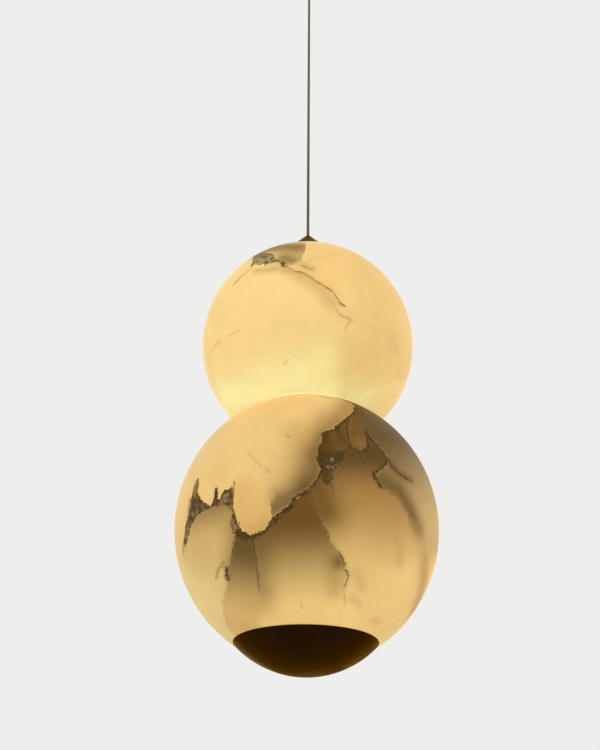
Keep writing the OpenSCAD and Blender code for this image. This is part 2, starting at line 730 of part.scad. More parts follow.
module collar_gasket() {
    color("dimgray") difference() {
        translate([0, 0, skirt_z - over]) cylinder(r = skirt_r - 0.3, h = skirt_drop + 2);
        translate([0, 0, skirt_z - 2 * over])
            cylinder(r = skirt_r - collar_wall, h = skirt_drop + 2 + 2 * over);
        translate([0, 0, upper_z]) sphere(r = upper_r, $fn = fine);
        translate([0, 0, upper_z]) difference() {
            sphere(r = upper_r + 20, $fn = 64);
            sphere(r = upper_r + collar_gasket_t, $fn = fine);
        }
    }
}

module crown_bush() {
    color("white") ring(crown_hole_d / 2 - 0.1, tube_r + 0.1, crown_z - globe_wall - 1, globe_wall + 1);
}

module upper_globe() {
    color([0.96, 0.86, 0.62]) difference() {
        stone_globe(upper_r, upper_z, upper_cut, false, true);
        translate([0, 0, crown_z - 2 * globe_wall]) cylinder(d = crown_hole_d, h = 3 * globe_wall);
    }
}

module central_tube() {
    color("silver") difference() {
        ring(tube_r, tube_bore_d / 2, tube_low_z, tube_top_z - tube_low_z);
        for (z = [disc_top_z, plate_top_z]) translate([0, 0, z + wire_z]) rotate([0, 90, 0])
            cylinder(r = wire_hole_r, h = tube_d, $fn = 48);
    }
}

module joint_disc() {
    out_r = rim_r - joint_inset;
    window_out = out_r - gasket_w - 2;
    color("ivory") difference() {
        ring(out_r, tube_r + thread_clear, disc_z, joint_disc_t, fine);
        for (i = [0 : window_count - 1]) rotate([0, 0, 360 * i / window_count - window_angle / 2])
            translate([0, 0, disc_z - over]) rotate_extrude(angle = window_angle)
                translate([window_out - window_w, 0]) square([window_w, joint_disc_t + 2 * over]);
    }
}

module joint_gasket_upper() {
    color("dimgray") ring(rim_r - joint_inset - 0.5, rim_r - joint_inset - gasket_w, disc_top_z,
        joint_gasket_t, fine);
}

module joint_gasket_lower() {
    color("dimgray") ring(rim_r - joint_inset - 0.5, rim_r - joint_inset - gasket_w, lower_rim_z,
        joint_gasket_t, fine);
}

module lower_globe() {
    color([0.95, 0.82, 0.58]) stone_globe(lower_r, lower_z, lower_cut, true, true);
}

module upper_heat_sink() {
    color("gainsboro") heat_sink(disc_top_z);
}

module lower_heat_sink() {
    color("gainsboro") heat_sink(plate_top_z);
}

module upper_led_board() {
    color("white") led_board(disc_top_z);
}

module lower_led_board() {
    color("white") led_board(plate_top_z);
}

module upper_diffuser() {
    color("ivory") diffuser(disc_top_z);
}

module lower_diffuser() {
    color("ivory") diffuser(plate_top_z);
}

module upper_wires() {
    color("firebrick") wire_pair(disc_top_z, wire_side);
}

module lower_wires() {
    color("black") wire_pair(plate_top_z, -wire_side);
}

module joint_nuts() {
    color("silver") {
        hex_nut(disc_top_z + sink_h);
        hex_nut(disc_z - nut_h);
    }
}

module bottom_nuts() {
    color("silver") {
        hex_nut(plate_top_z + sink_h);
        hex_nut(bottom_nut_z);
    }
}

module bottom_plate() {
    color("lightsteelblue") ring(plate_r, tube_r + thread_clear, plate_z, plate_t, fine);
}

module plate_gasket() {
    color("dimgray") ring(plate_r - 0.5, plate_r - 7, plate_top_z, plate_gasket_t, fine);
}

module load_washer() {
    color("silver") ring(washer_d / 2, tube_r + thread_clear, washer_z, washer_t);
}

module bottom_cap() {
    color([0.2, 0.15, 0.06]) difference() {
        translate([0, 0, cap_z]) sphere(r = cap_r, $fn = fine);
        translate([0, 0, cap_z]) sphere(r = cap_r - cap_wall, $fn = fine);
        translate([0, 0, bottom_rim_z - cap_gap]) cylinder(r = 2 * cap_r, h = 3 * cap_r);
    }
}

// The insert stands on the cap's lowest point, and its foot follows the cap's inside.
module cap_insert() {
    color("goldenrod") difference() {
        intersection() {
            translate([0, 0, cap_low_z]) cylinder(d = insert_d, h = insert_top_z - cap_low_z);
            translate([0, 0, cap_z]) sphere(r = cap_r - cap_wall, $fn = fine);
        }
        translate([0, 0, insert_z + insert_foot])
            cylinder(r = tube_r + thread_clear, h = insert_top_z - insert_z);
    }
}

ceiling_plate();
hanger_bridge();
bridge_rivets();
hanger_tube();
hanger_nuts();
canopy();
cord_gland();
gland_screw();
cord_tail();
led_driver();
driver_screws();
terminal_block();
terminal_screws();
earth_screw();
driver_leads();
suspension_cord();
cord_grip();
grip_screw();
cord_end();
collar();
collar_bush();
collar_gasket();
crown_bush();
upper_globe();
central_tube();
joint_disc();
joint_gasket_upper();
joint_gasket_lower();
lower_globe();
upper_heat_sink();
upper_led_board();
upper_diffuser();
upper_wires();
joint_nuts();
lower_heat_sink();
lower_led_board();
lower_diffuser();
lower_wires();
bottom_nuts();
bottom_plate();
plate_gasket();
load_washer();
bottom_cap();
cap_insert();
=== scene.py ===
"""Pendant lamp of two lit alabaster globes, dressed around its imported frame.

Everything is in metres in the frame of the CAD model: +Z up, with the origin midway between the
two ceiling screws, on the ceiling plane. Sizes of single pieces are written in millimetres and
turned into metres where a mesh is made.
"""

import logging
import math
from dataclasses import dataclass
from enum import Enum
from functools import partial, reduce
from typing import ClassVar, Mapping, Sequence

import bmesh
import bpy
import numpy as np
from mathutils import Matrix, Vector

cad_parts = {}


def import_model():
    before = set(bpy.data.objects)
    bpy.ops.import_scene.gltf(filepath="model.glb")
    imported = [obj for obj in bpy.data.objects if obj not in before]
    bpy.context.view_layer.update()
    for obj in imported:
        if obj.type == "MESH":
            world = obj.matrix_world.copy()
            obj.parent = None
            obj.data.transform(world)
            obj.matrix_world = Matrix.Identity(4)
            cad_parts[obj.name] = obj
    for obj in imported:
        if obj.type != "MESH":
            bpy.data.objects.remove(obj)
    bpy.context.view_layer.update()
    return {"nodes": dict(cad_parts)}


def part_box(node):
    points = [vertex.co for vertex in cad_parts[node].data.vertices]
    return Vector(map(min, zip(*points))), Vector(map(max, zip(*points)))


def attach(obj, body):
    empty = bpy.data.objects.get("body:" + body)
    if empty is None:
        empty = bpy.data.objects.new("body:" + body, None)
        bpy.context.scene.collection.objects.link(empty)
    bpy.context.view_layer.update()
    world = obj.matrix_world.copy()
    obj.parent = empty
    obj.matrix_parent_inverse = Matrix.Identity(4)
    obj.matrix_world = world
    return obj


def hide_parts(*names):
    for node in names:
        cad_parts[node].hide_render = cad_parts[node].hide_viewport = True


LOG = logging.getLogger("pendant")
MM = 0.001
FULL_TURN = 2 * math.pi
# Farther from a vein, in millimetres, than any vein reaches
FAR = 50.0

Point2 = tuple[float, float]
Triple = tuple[float, float, float]
Colour = Triple
Socket = bpy.types.NodeSocket
Node = bpy.types.Node
Tree = bpy.types.NodeTree
Feed = Socket | float | tuple


class Body(Enum):
    """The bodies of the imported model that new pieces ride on."""

    CORD = "cord"
    LAMP = "lamp"
    CAP = "cap"


class Texture(Enum):
    """What a layer of the stone looks like close up."""

    CLOUDY = "cloudy"
    STREAKED = "streaked"
    CRYSTALS = "crystals"


def paint(red: int, green: int, blue: int) -> Colour:
    """Turns a colour as a screen shows it, from 0 to 255 or a little more, into linear light."""
    shares = [value / 255 for value in (red, green, blue)]
    return tuple(s / 12.92 if s <= 0.04045 else ((s + 0.055) / 1.055) ** 2.4 for s in shares)


def stand(name: str, data: bpy.types.ID) -> bpy.types.Object:
    """Makes an object and puts it in the scene.

    Args:
        name: The object's name.
        data: Its mesh, curve, camera or light.

    Returns:
        The new object.
    """
    made = bpy.data.objects.new(name, data)
    bpy.context.scene.collection.objects.link(made)
    return made


def modelled(shape: bmesh.types.BMesh, name: str) -> bpy.types.Mesh:
    """Turns what was modelled into a mesh.

    Args:
        shape: What was modelled, which is freed.
        name: The mesh's name.

    Returns:
        The mesh.
    """
    mesh = bpy.data.meshes.new(name)
    shape.to_mesh(mesh)
    shape.free()
    return mesh


# ---------------------------------------------------------------- nodes


class Bench:
    """Places and links the nodes of one tree."""

    def __init__(self, tree: Tree) -> None:
        """Starts on an empty tree."""
        self.tree = tree
        self.tree.nodes.clear()

    def feed(self, node: Node, inputs: Mapping[str | int, Feed]) -> None:
        """Links a node's inputs to other sockets, or gives them plain values.

        Args:
            node: The node.
            inputs: Values or sockets for its inputs, by name or number.
        """
        for key, value in inputs.items():
            socket = node.inputs[key]
            if isinstance(value, Socket):
                self.tree.links.new(value, socket)
            elif isinstance(value, tuple) and socket.type == "RGBA" and len(value) == 3:
                socket.default_value = (*value, 1.0)
            else:
                socket.default_value = value

    def put(self, kind: str, inputs: Mapping[str | int, Feed] | None = None, **settings: object) -> Node:
        """Adds a node.

        Args:
            kind: The node's type name, without the words that all of them start with.
            inputs: Values or sockets for its inputs, by name or number.
            **settings: Properties of the node itself.

        Returns:
            The new node.
        """
        node = self.tree.nodes.new(kind if kind.startswith("Node") else "ShaderNode" + kind)
        row, column = divmod(len(self.tree.nodes), 12)
        node.location = (220 * column, -260 * row)
        for name, value in settings.items():
            setattr(node, name, value)
        self.feed(node, inputs or {})
        return node

    def group(self, tree: Tree, inputs: Mapping[str, Feed]) -> Mapping[str, Socket]:
        """Places a shared group with values for its inputs, and returns its outputs."""
        return self.put("Group", inputs, node_tree=tree).outputs

    def math(self, operation: str, *values: Feed) -> Socket:
        """Adds a Math node and returns its result."""
        return self.put("Math", dict(enumerate(values)), operation=operation).outputs[0]

    def product(self, *values: Feed) -> Socket:
        """Multiplies values, one after another, and returns the result."""
        return reduce(partial(self.math, "MULTIPLY"), values)

    def plus(self, *values: Feed) -> Socket:
        """Adds up values, one after another, and returns the result."""
        return reduce(partial(self.math, "ADD"), values)

    def sway(self, value: Feed, reach: float) -> Socket:
        """Turns a noise from 0 to 1 into one round 0 of a whole width, and returns it."""
        return self.product(self.math("SUBTRACT", value, 0.5), reach)

    def mix(self, share: Feed, first: Feed, second: Feed, blend: str = "MIX") -> Socket:
        """Mixes two colours by the second one's share and returns the result."""
        inputs = {0: share, 6: first, 7: second}
        return self.put("Mix", inputs, data_type="RGBA", blend_type=blend).outputs[2]

    def ramp(self, value: Feed, low: Feed, high: Feed, to_low: float = 0.0, to_high: float = 1.0) -> Socket:
        """Maps a value smoothly from one span to another and returns the result."""
        spans = {"Value": value, "From Min": low, "From Max": high, "To Min": to_low, "To Max": to_high}
        return self.put("MapRange", spans, interpolation_type="SMOOTHSTEP").outputs[0]

    def noise(
        self, place: Feed, scale: Feed, detail: float = 3.0, roughness: float = 0.5, distortion: float = 0.0
    ) -> Socket:
        """Adds a noise texture and returns its value, from 0 to 1."""
        inputs = {"Vector": place, "Scale": scale, "Detail": detail, "Roughness": roughness}
        return self.put("TexNoise", {**inputs, "Distortion": distortion}).outputs["Fac"]

    def attribute(self, name: str, output: str = "Fac") -> Socket:
        """Reads an attribute of the mesh and returns it."""
        return self.put("Attribute", attribute_name=name).outputs[output]

    def place(self) -> Socket:
        """Returns the piece's own coordinates."""
        return self.put("TexCoord").outputs["Object"]

    def parts(self, place: Feed) -> Sequence[Socket]:
        """Returns the X, Y and Z of coordinates."""
        return self.put("SeparateXYZ", {0: place}).outputs


def surface(name: str) -> tuple[bpy.types.Material, Bench, Node]:
    """Makes a material with a Principled shader.

    Args:
        name: The material's name.

    Returns:
        The material, its bench and its shader.
    """
    material = bpy.data.materials.new(name)
    material.use_nodes = True
    bench = Bench(material.node_tree)
    shader = bench.put("BsdfPrincipled")
    bench.put("OutputMaterial", {"Surface": shader.outputs[0]})
    return material, bench, shader


class EffectShop:
    """Shader groups that several finishes share, each built once."""

    moves: ClassVar[Mapping[str, float]] = {"Wobble": 0.5, "Fine": 0.5, "Swell": 1.0}

    def __init__(self) -> None:
        """Builds the groups."""
        self.patina = self._patina()
        self.turned = self._turned()
        self.thread = self._thread()
        self.grain = self._grain()
        self.stone_layer = self._stone_layer()
        self.crystals = self._crystals()
        self.vein = self._vein()

    @staticmethod
    def _start(
        name: str, inputs: Mapping[str, str | float], *outputs: str
    ) -> tuple[Bench, Mapping[str, Socket], Node]:
        """Makes a group with its sockets.

        Args:
            name: The group's name.
            inputs: The value of each input, or Vector or Color for an input of that kind.
            *outputs: The names of its outputs, of which Colour is a colour.

        Returns:
            The bench, what the group is given, and its output node.
        """
        tree = bpy.data.node_groups.new(name, "ShaderNodeTree")
        for label, value in inputs.items():
            kind = value if isinstance(value, str) else "Float"
            socket = tree.interface.new_socket(name=label, in_out="INPUT", socket_type="NodeSocket" + kind)
            if kind == "Float":
                socket.default_value = value
        for label in outputs:
            kind = "NodeSocketColor" if label == "Colour" else "NodeSocketFloat"
            tree.interface.new_socket(name=label, in_out="OUTPUT", socket_type=kind)
        bench = Bench(tree)
        return bench, bench.put("NodeGroupInput").outputs, bench.put("NodeGroupOutput")

    def _patina(self) -> Tree:
        """Blotches and fine specks of an oiled bronze surface.

        Returns:
            The group's tree.
        """
        inputs = {"Vector": "Vector", "Size": 40.0, "Depth": 0.5}
        bench, given, result = self._start("PatinaBlotches", inputs, "Mask", "Roughness", "Height")
        broad = bench.noise(given["Vector"], given["Size"], 4.0, 0.55, 0.6)
        specks = bench.noise(given["Vector"], bench.product(given["Size"], 28.0), 3.0, 0.6)
        mask = bench.ramp(bench.plus(bench.product(broad, 0.75), bench.product(specks, 0.25)), 0.36, 0.64)
        shine = bench.ramp(mask, 0.0, 1.0, 0.36, 0.5)
        mask = bench.product(mask, given["Depth"])
        bench.feed(result, {"Mask": mask, "Roughness": shine, "Height": specks})
        return bench.tree

    def _turned(self) -> Tree:
        """Fine rings that a lathe or a press leaves, around the Z axis.

        Returns:
            The group's tree.
        """
        inputs = {"Vector": "Vector", "Pitch": 2500.0}
        bench, given, result = self._start("TurnedRings", inputs, "Mask", "Height")
        parts = bench.parts(given["Vector"])
        square = bench.plus(bench.math("POWER", parts[0], 2.0), bench.math("POWER", parts[1], 2.0))
        line = bench.put("CombineXYZ", {0: bench.math("SQRT", square), 2: parts[2]}).outputs[0]
        rings = bench.noise(line, given["Pitch"], 2.0, 0.7)
        bench.feed(result, {"Mask": bench.ramp(rings, 0.3, 0.7), "Height": rings})
        return bench.tree

    def _thread(self) -> Tree:
        """A screw thread that winds up the Z axis.

        Returns:
            The group's tree.
        """
        inputs = {"Vector": "Vector", "Pitch": 0.001}
        bench, given, result = self._start("ScrewThread", inputs, "Mask", "Height")
        parts = bench.parts(given["Vector"])
        turn = bench.math("DIVIDE", bench.math("ARCTAN2", parts[1], parts[0]), FULL_TURN)
        rise = bench.math("SUBTRACT", bench.math("DIVIDE", parts[2], given["Pitch"]), turn)
        crest = bench.math("PINGPONG", rise, 0.5)
        bench.feed(result, {"Height": bench.product(crest, 2.0), "Mask": bench.ramp(crest, 0.08, 0.3)})
        return bench.tree

    def _grain(self) -> Tree:
        """Small soft variation of moulded, plated and rubber surfaces.

        Returns:
            The group's tree.
        """
        inputs = {"Vector": "Vector", "Fineness": 900.0}
        bench, given, result = self._start("SurfaceGrain", inputs, "Mask", "Height")
        fine = bench.noise(given["Vector"], given["Fineness"], 2.0, 0.5)
        broad = bench.noise(given["Vector"], 60.0, 3.0, 0.5)
        blend = bench.plus(bench.product(fine, 0.4), bench.product(broad, 0.6))
        bench.feed(result, {"Mask": bench.ramp(blend, 0.35, 0.65), "Height": fine})
        return bench.tree

    @staticmethod
    def _stray(bench: Bench, given: Mapping[str, Socket], name: str, wobble: float, fine: float) -> Socket:
        """Lets a distance stray by the broad and the fine noise, in millimetres, and returns it."""
        return bench.plus(given[name], bench.sway(given["Wobble"], wobble), bench.sway(given["Fine"], fine))

    def _stone_layer(self) -> Tree:
        """One layer of stone over another, with a natural edge that is dark where it has a rim.

        Distances are in millimetres, above zero inside the layer.

        Returns:
            The group's tree.
        """
        inputs = {label: "Color" for label in ("Under", "Over", "Dark", "Pale")}
        inputs |= {"Distance": 0.0, "Soft": 0.5, "Rim": 0.0, "Lip": 0.1, **self.moves}
        bench, given, result = self._start("StoneLayer", inputs, "Colour", "Line")
        moved = self._stray(bench, given, "Distance", 5.0, 7.5)
        rim, dark = given["Rim"], given["Dark"]
        cover = bench.ramp(moved, bench.product(given["Soft"], -1.0), given["Soft"])
        colour = bench.mix(cover, given["Under"], given["Over"])
        # Shadow under the edge, a pale lip on it, then the vein itself
        below = bench.product(bench.ramp(moved, -6.0, -0.5), bench.ramp(moved, 0.6, -0.4))
        colour = bench.mix(bench.product(below, rim, 0.35), colour, dark)
        lip = bench.ramp(bench.math("ABSOLUTE", bench.math("SUBTRACT", moved, 1.5)), 0.9, 0.1)
        colour = bench.mix(bench.product(lip, rim, given["Lip"]), colour, given["Pale"])
        width = bench.product(given["Swell"], bench.ramp(rim, 0.0, 1.0, 0.4, 1.3))
        reach = bench.math("DIVIDE", bench.math("ABSOLUTE", bench.plus(moved, 0.5)), width)
        broken = bench.ramp(given["Fine"], 0.36, 0.56, 0.35, 1.0)
        line = bench.product(bench.ramp(reach, 1.0, 0.3), rim, broken)
        bench.feed(result, {"Colour": bench.mix(line, colour, dark), "Line": line})
        return bench.tree

    def _crystals(self) -> Tree:
        """Ragged dark grains, a few pale pebbles among them, and the cracks between.

        Returns:
            The group's tree.
        """
        inputs = {"Vector": "Vector", "Size": 260.0}
        bench, given, result = self._start("CrystalNest", inputs, "Grain", "Pale", "Crack")
        place, size = given["Vector"], given["Size"]
        push = bench.put("TexNoise", {"Vector": place, "Scale": bench.product(size, 0.7), "Detail": 4.0})
        away = bench.put("VectorMath", {0: push.outputs["Color"], 3: 0.008}, operation="SCALE").outputs[0]
        bent = bench.put("VectorMath", {0: place, 1: away}, operation="ADD").outputs[0]
        cells = bench.put("TexVoronoi", {"Vector": bent, "Scale": size}).outputs["Color"]
        walls = bench.put("TexVoronoi", {"Vector": bent, "Scale": size}, feature="DISTANCE_TO_EDGE")
        gap = walls.outputs["Distance"]
        random = bench.put("SeparateColor", {0: cells}).outputs[0]
        rough = bench.noise(place, bench.product(size, 1.4), 4.0, 0.7)
        grain = bench.plus(bench.product(rough, 0.8), bench.product(random, 0.2))
        bench.feed(result, {
            "Grain": bench.ramp(grain, 0.38, 0.62),
            "Pale": bench.product(bench.ramp(random, 0.78, 0.9), bench.ramp(gap, 0.04, 0.2)),
            "Crack": bench.product(bench.ramp(gap, 0.09, 0.0), bench.ramp(rough, 0.4, 0.55)),
        })
        return bench.tree

    def _vein(self) -> Tree:
        """A free vein of a wandering width, with a soft margin; distances in millimetres.

        Returns:
            The group's tree.
        """
        inputs = {"Side": FAR, "Near": FAR, "Width": 1.0, "Strength": 0.0, **self.moves}
        bench, given, result = self._start("FreeVein", inputs, "Line", "Halo")
        near, strength = given["Near"], given["Strength"]
        moved = self._stray(bench, given, "Side", 3.0, 2.4)
        width = bench.product(given["Width"], given["Swell"])
        reach = bench.math("DIVIDE", bench.math("ABSOLUTE", moved), width)
        broken = bench.ramp(given["Fine"], 0.36, 0.56, 0.35, 1.0)
        line = bench.product(bench.ramp(reach, 1.0, 0.3), bench.ramp(near, 3.4, 2.0), strength, broken)
        halo = bench.product(bench.ramp(reach, 4.0, 0.5), bench.ramp(near, 4.2, 1.5), strength, 0.45)
        bench.feed(result, {"Line": line, "Halo": halo})
        return bench.tree


# ---------------------------------------------------------------- finishes


@dataclass(frozen=True)
class Finish:
    """A finish that makes its material once; slot is the record's material slot it stands for."""

    slot: str

    def title(self) -> str:
        """Returns the name of the material."""
        return "finish_" + self.slot

    def material(self, shop: EffectShop) -> bpy.types.Material:
        """Returns the finish's material, made on first use.

        Args:
            shop: The shared shader groups.

        Returns:
            The material.
        """
        found = bpy.data.materials.get(self.title())
        if found is None:
            found, bench, shader = surface(self.title())
            self.shade(bench, shader, shop)
        return found

    def shade(self, bench: Bench, shader: Node, shop: EffectShop) -> None:
        """Fills in the shader; each kind of finish has its own way."""
        raise NotImplementedError

    def bump(self, bench: Bench, shader: Node, height: Feed, depth: float, strength: float) -> None:
        """Feeds a height into the shader's normal; depth is what 1 stands for, in metres."""
        node = bench.put("Bump", {"Height": height, "Distance": depth, "Strength": strength})
        bench.feed(shader, {"Normal": node.outputs[0]})


@dataclass(frozen=True)
class BronzeFinish(Finish):
    """Dark oiled bronze, satin, with a warm tint where light grazes it."""

    slot: str = "dark_bronze"
    dark: Colour = paint(34, 19, 5)
    warm: Colour = paint(45, 27, 9)
    edge: Colour = paint(255, 214, 160)
    blotches: float = 30.0
    rings: float = 2200.0
    relief: float = 0.00004

    def shade(self, bench: Bench, shader: Node, shop: EffectShop) -> None:
        """Blends two browns by the patina and lays fine rings on them.

        Args:
            bench: The material's bench.
            shader: The material's shader.
            shop: The shared shader groups.
        """
        place = bench.place()
        patina = bench.group(shop.patina, {"Vector": place, "Size": self.blotches, "Depth": 0.7})
        rings = bench.group(shop.turned, {"Vector": place, "Pitch": self.rings})
        bench.feed(shader, {
            "Base Color": bench.mix(patina["Mask"], self.dark, self.warm),
            "Roughness": patina["Roughness"],
            "Metallic": 1.0,
            "Specular Tint": self.edge,
        })
        height = bench.plus(rings["Height"], bench.product(patina["Height"], 0.5))
        self.bump(bench, shader, height, self.relief, 0.35)


@dataclass(frozen=True)
class MetalFinish(Finish):
    """Bare or plated metal with small lathe or brush marks."""

    colour: Colour
    shadow: Colour
    roughness: float
    pitch: float = 1800.0
    relief: float = 0.00003
    fineness: float = 700.0

    def marks(self, bench: Bench, shop: EffectShop, place: Feed) -> Mapping[str, Socket]:
        """Places the group that gives the metal its marks."""
        return bench.group(shop.turned, {"Vector": place, "Pitch": self.pitch})

    def shade(self, bench: Bench, shader: Node, shop: EffectShop) -> None:
        """Blends bright and dull metal by its marks.

        Args:
            bench: The material's bench.
            shader: The material's shader.
            shop: The shared shader groups.
        """
        place = bench.place()
        marks = self.marks(bench, shop, place)
        grain = bench.group(shop.grain, {"Vector": place, "Fineness": self.fineness})
        blend = bench.product(bench.plus(marks["Mask"], grain["Mask"]), 0.5)
        bench.feed(shader, {
            "Base Color": bench.mix(blend, self.shadow, self.colour),
            "Roughness": bench.ramp(grain["Mask"], 0.0, 1.0, self.roughness - 0.06, self.roughness + 0.08),
            "Metallic": 1.0,
        })
        self.bump(bench, shader, marks["Height"], self.relief, 0.3)


@dataclass(frozen=True)
class ThreadedFinish(MetalFinish):
    """Plated metal with a screw thread; the pitch is the thread's, in metres."""

    pitch: float = 0.001
    relief: float = 0.0006

    def title(self) -> str:
        """Returns the name of the material."""
        return super().title() + "_threaded"

    def marks(self, bench: Bench, shop: EffectShop, place: Feed) -> Mapping[str, Socket]:
        """Places the thread."""
        return bench.group(shop.thread, {"Vector": place, "Pitch": self.pitch})


@dataclass(frozen=True)
class MouldedFinish(Finish):
    """Plastic, rubber or enamel with a fine grain."""

    colour: Colour
    shadow: Colour
    roughness: float
    glow: float = 0.0
    fineness: float = 900.0
    relief: float = 0.00005

    def shade(self, bench: Bench, shader: Node, shop: EffectShop) -> None:
        """Varies the colour a little and lays the grain on it.

        Args:
            bench: The material's bench.
            shader: The material's shader.
            shop: The shared shader groups.
        """
        grain = bench.group(shop.grain, {"Vector": bench.place(), "Fineness": self.fineness})
        colour = bench.mix(grain["Mask"], self.shadow, self.colour)
        spread = bench.ramp(grain["Mask"], 0.0, 1.0, self.roughness + 0.05, self.roughness - 0.05)
        bench.feed(shader, {"Base Color": colour, "Roughness": spread})
        if self.glow > 0:
            bench.feed(shader, {"Emission Color": colour, "Emission Strength": self.glow})
        self.bump(bench, shader, grain["Height"], self.relief, 0.3)


@dataclass(frozen=True)
class SheathFinish(Finish):
    """Dark brown woven sheath of the cord, with a fine crossing weave."""

    slot: str = "cord_sheath"
    dark: Colour = paint(50, 40, 24)
    light: Colour = paint(98, 82, 54)
    threads: float = 12.0
    lay: float = 0.0015
    relief: float = 0.0001

    def shade(self, bench: Bench, shader: Node, shop: EffectShop) -> None:
        """Crosses two sets of threads that wind round the cord.

        Args:
            bench: The material's bench.
            shader: The material's shader.
            shop: The shared shader groups, which this finish doesn't use.
        """
        parts = bench.parts(bench.place())
        around = bench.product(bench.math("ARCTAN2", parts[1], parts[0]), self.threads)
        along = bench.product(parts[2], FULL_TURN / self.lay)
        over = bench.math("SINE", bench.plus(around, along))
        under = bench.math("SINE", bench.math("SUBTRACT", around, along))
        weave = bench.ramp(bench.math("MAXIMUM", over, under), -0.2, 1.0)
        bench.feed(shader, {
            "Base Color": bench.mix(weave, self.dark, self.light),
            "Roughness": bench.ramp(weave, 0.0, 1.0, 0.75, 0.55),
        })
        self.bump(bench, shader, weave, self.relief, 0.6)


# ---------------------------------------------------------------- what the stone's markings are made of


@dataclass(frozen=True)
class Vein:
    """A vein along spots of the photograph, with its width in millimetres and its strength."""

    spots: tuple[Point2, ...]
    width: float
    strength: float


@dataclass(frozen=True)
class Shade:
    """A soft change of tone round spots of the photograph, reaching so many millimetres."""

    spots: tuple[Point2, ...]
    reach: float
    tone: Colour
    strength: float = 1.0


@dataclass(frozen=True)
class Slope:
    """A change of tone that is whole at its start and before it, and fades out towards its end."""

    start: Point2
    end: Point2
    tone: Colour
    strength: float = 1.0


@dataclass(frozen=True)
class Stretch:
    """A stretch of a layer's edge with a value of its own, along spots of the photograph."""

    spots: tuple[Point2, ...]
    value: float
    reach: float = 7.0


@dataclass(frozen=True)
class Layer:
    """A layer of stone: outline, tone and its changes, dark rims, and stretches that fade out."""

    name: str
    tone: Colour
    outline: tuple[Point2, ...] = ()
    changes: tuple[Shade | Slope, ...] = ()
    rims: tuple[Stretch, ...] = ()
    fades: tuple[Stretch, ...] = ()
    lip: float = 0.1
    texture: Texture = Texture.CLOUDY


@dataclass(frozen=True)
class Markings:
    """All the markings of one globe, as the photograph shows them; the first layer is the body."""

    layers: tuple[Layer, ...]
    veins: tuple[Vein, ...]


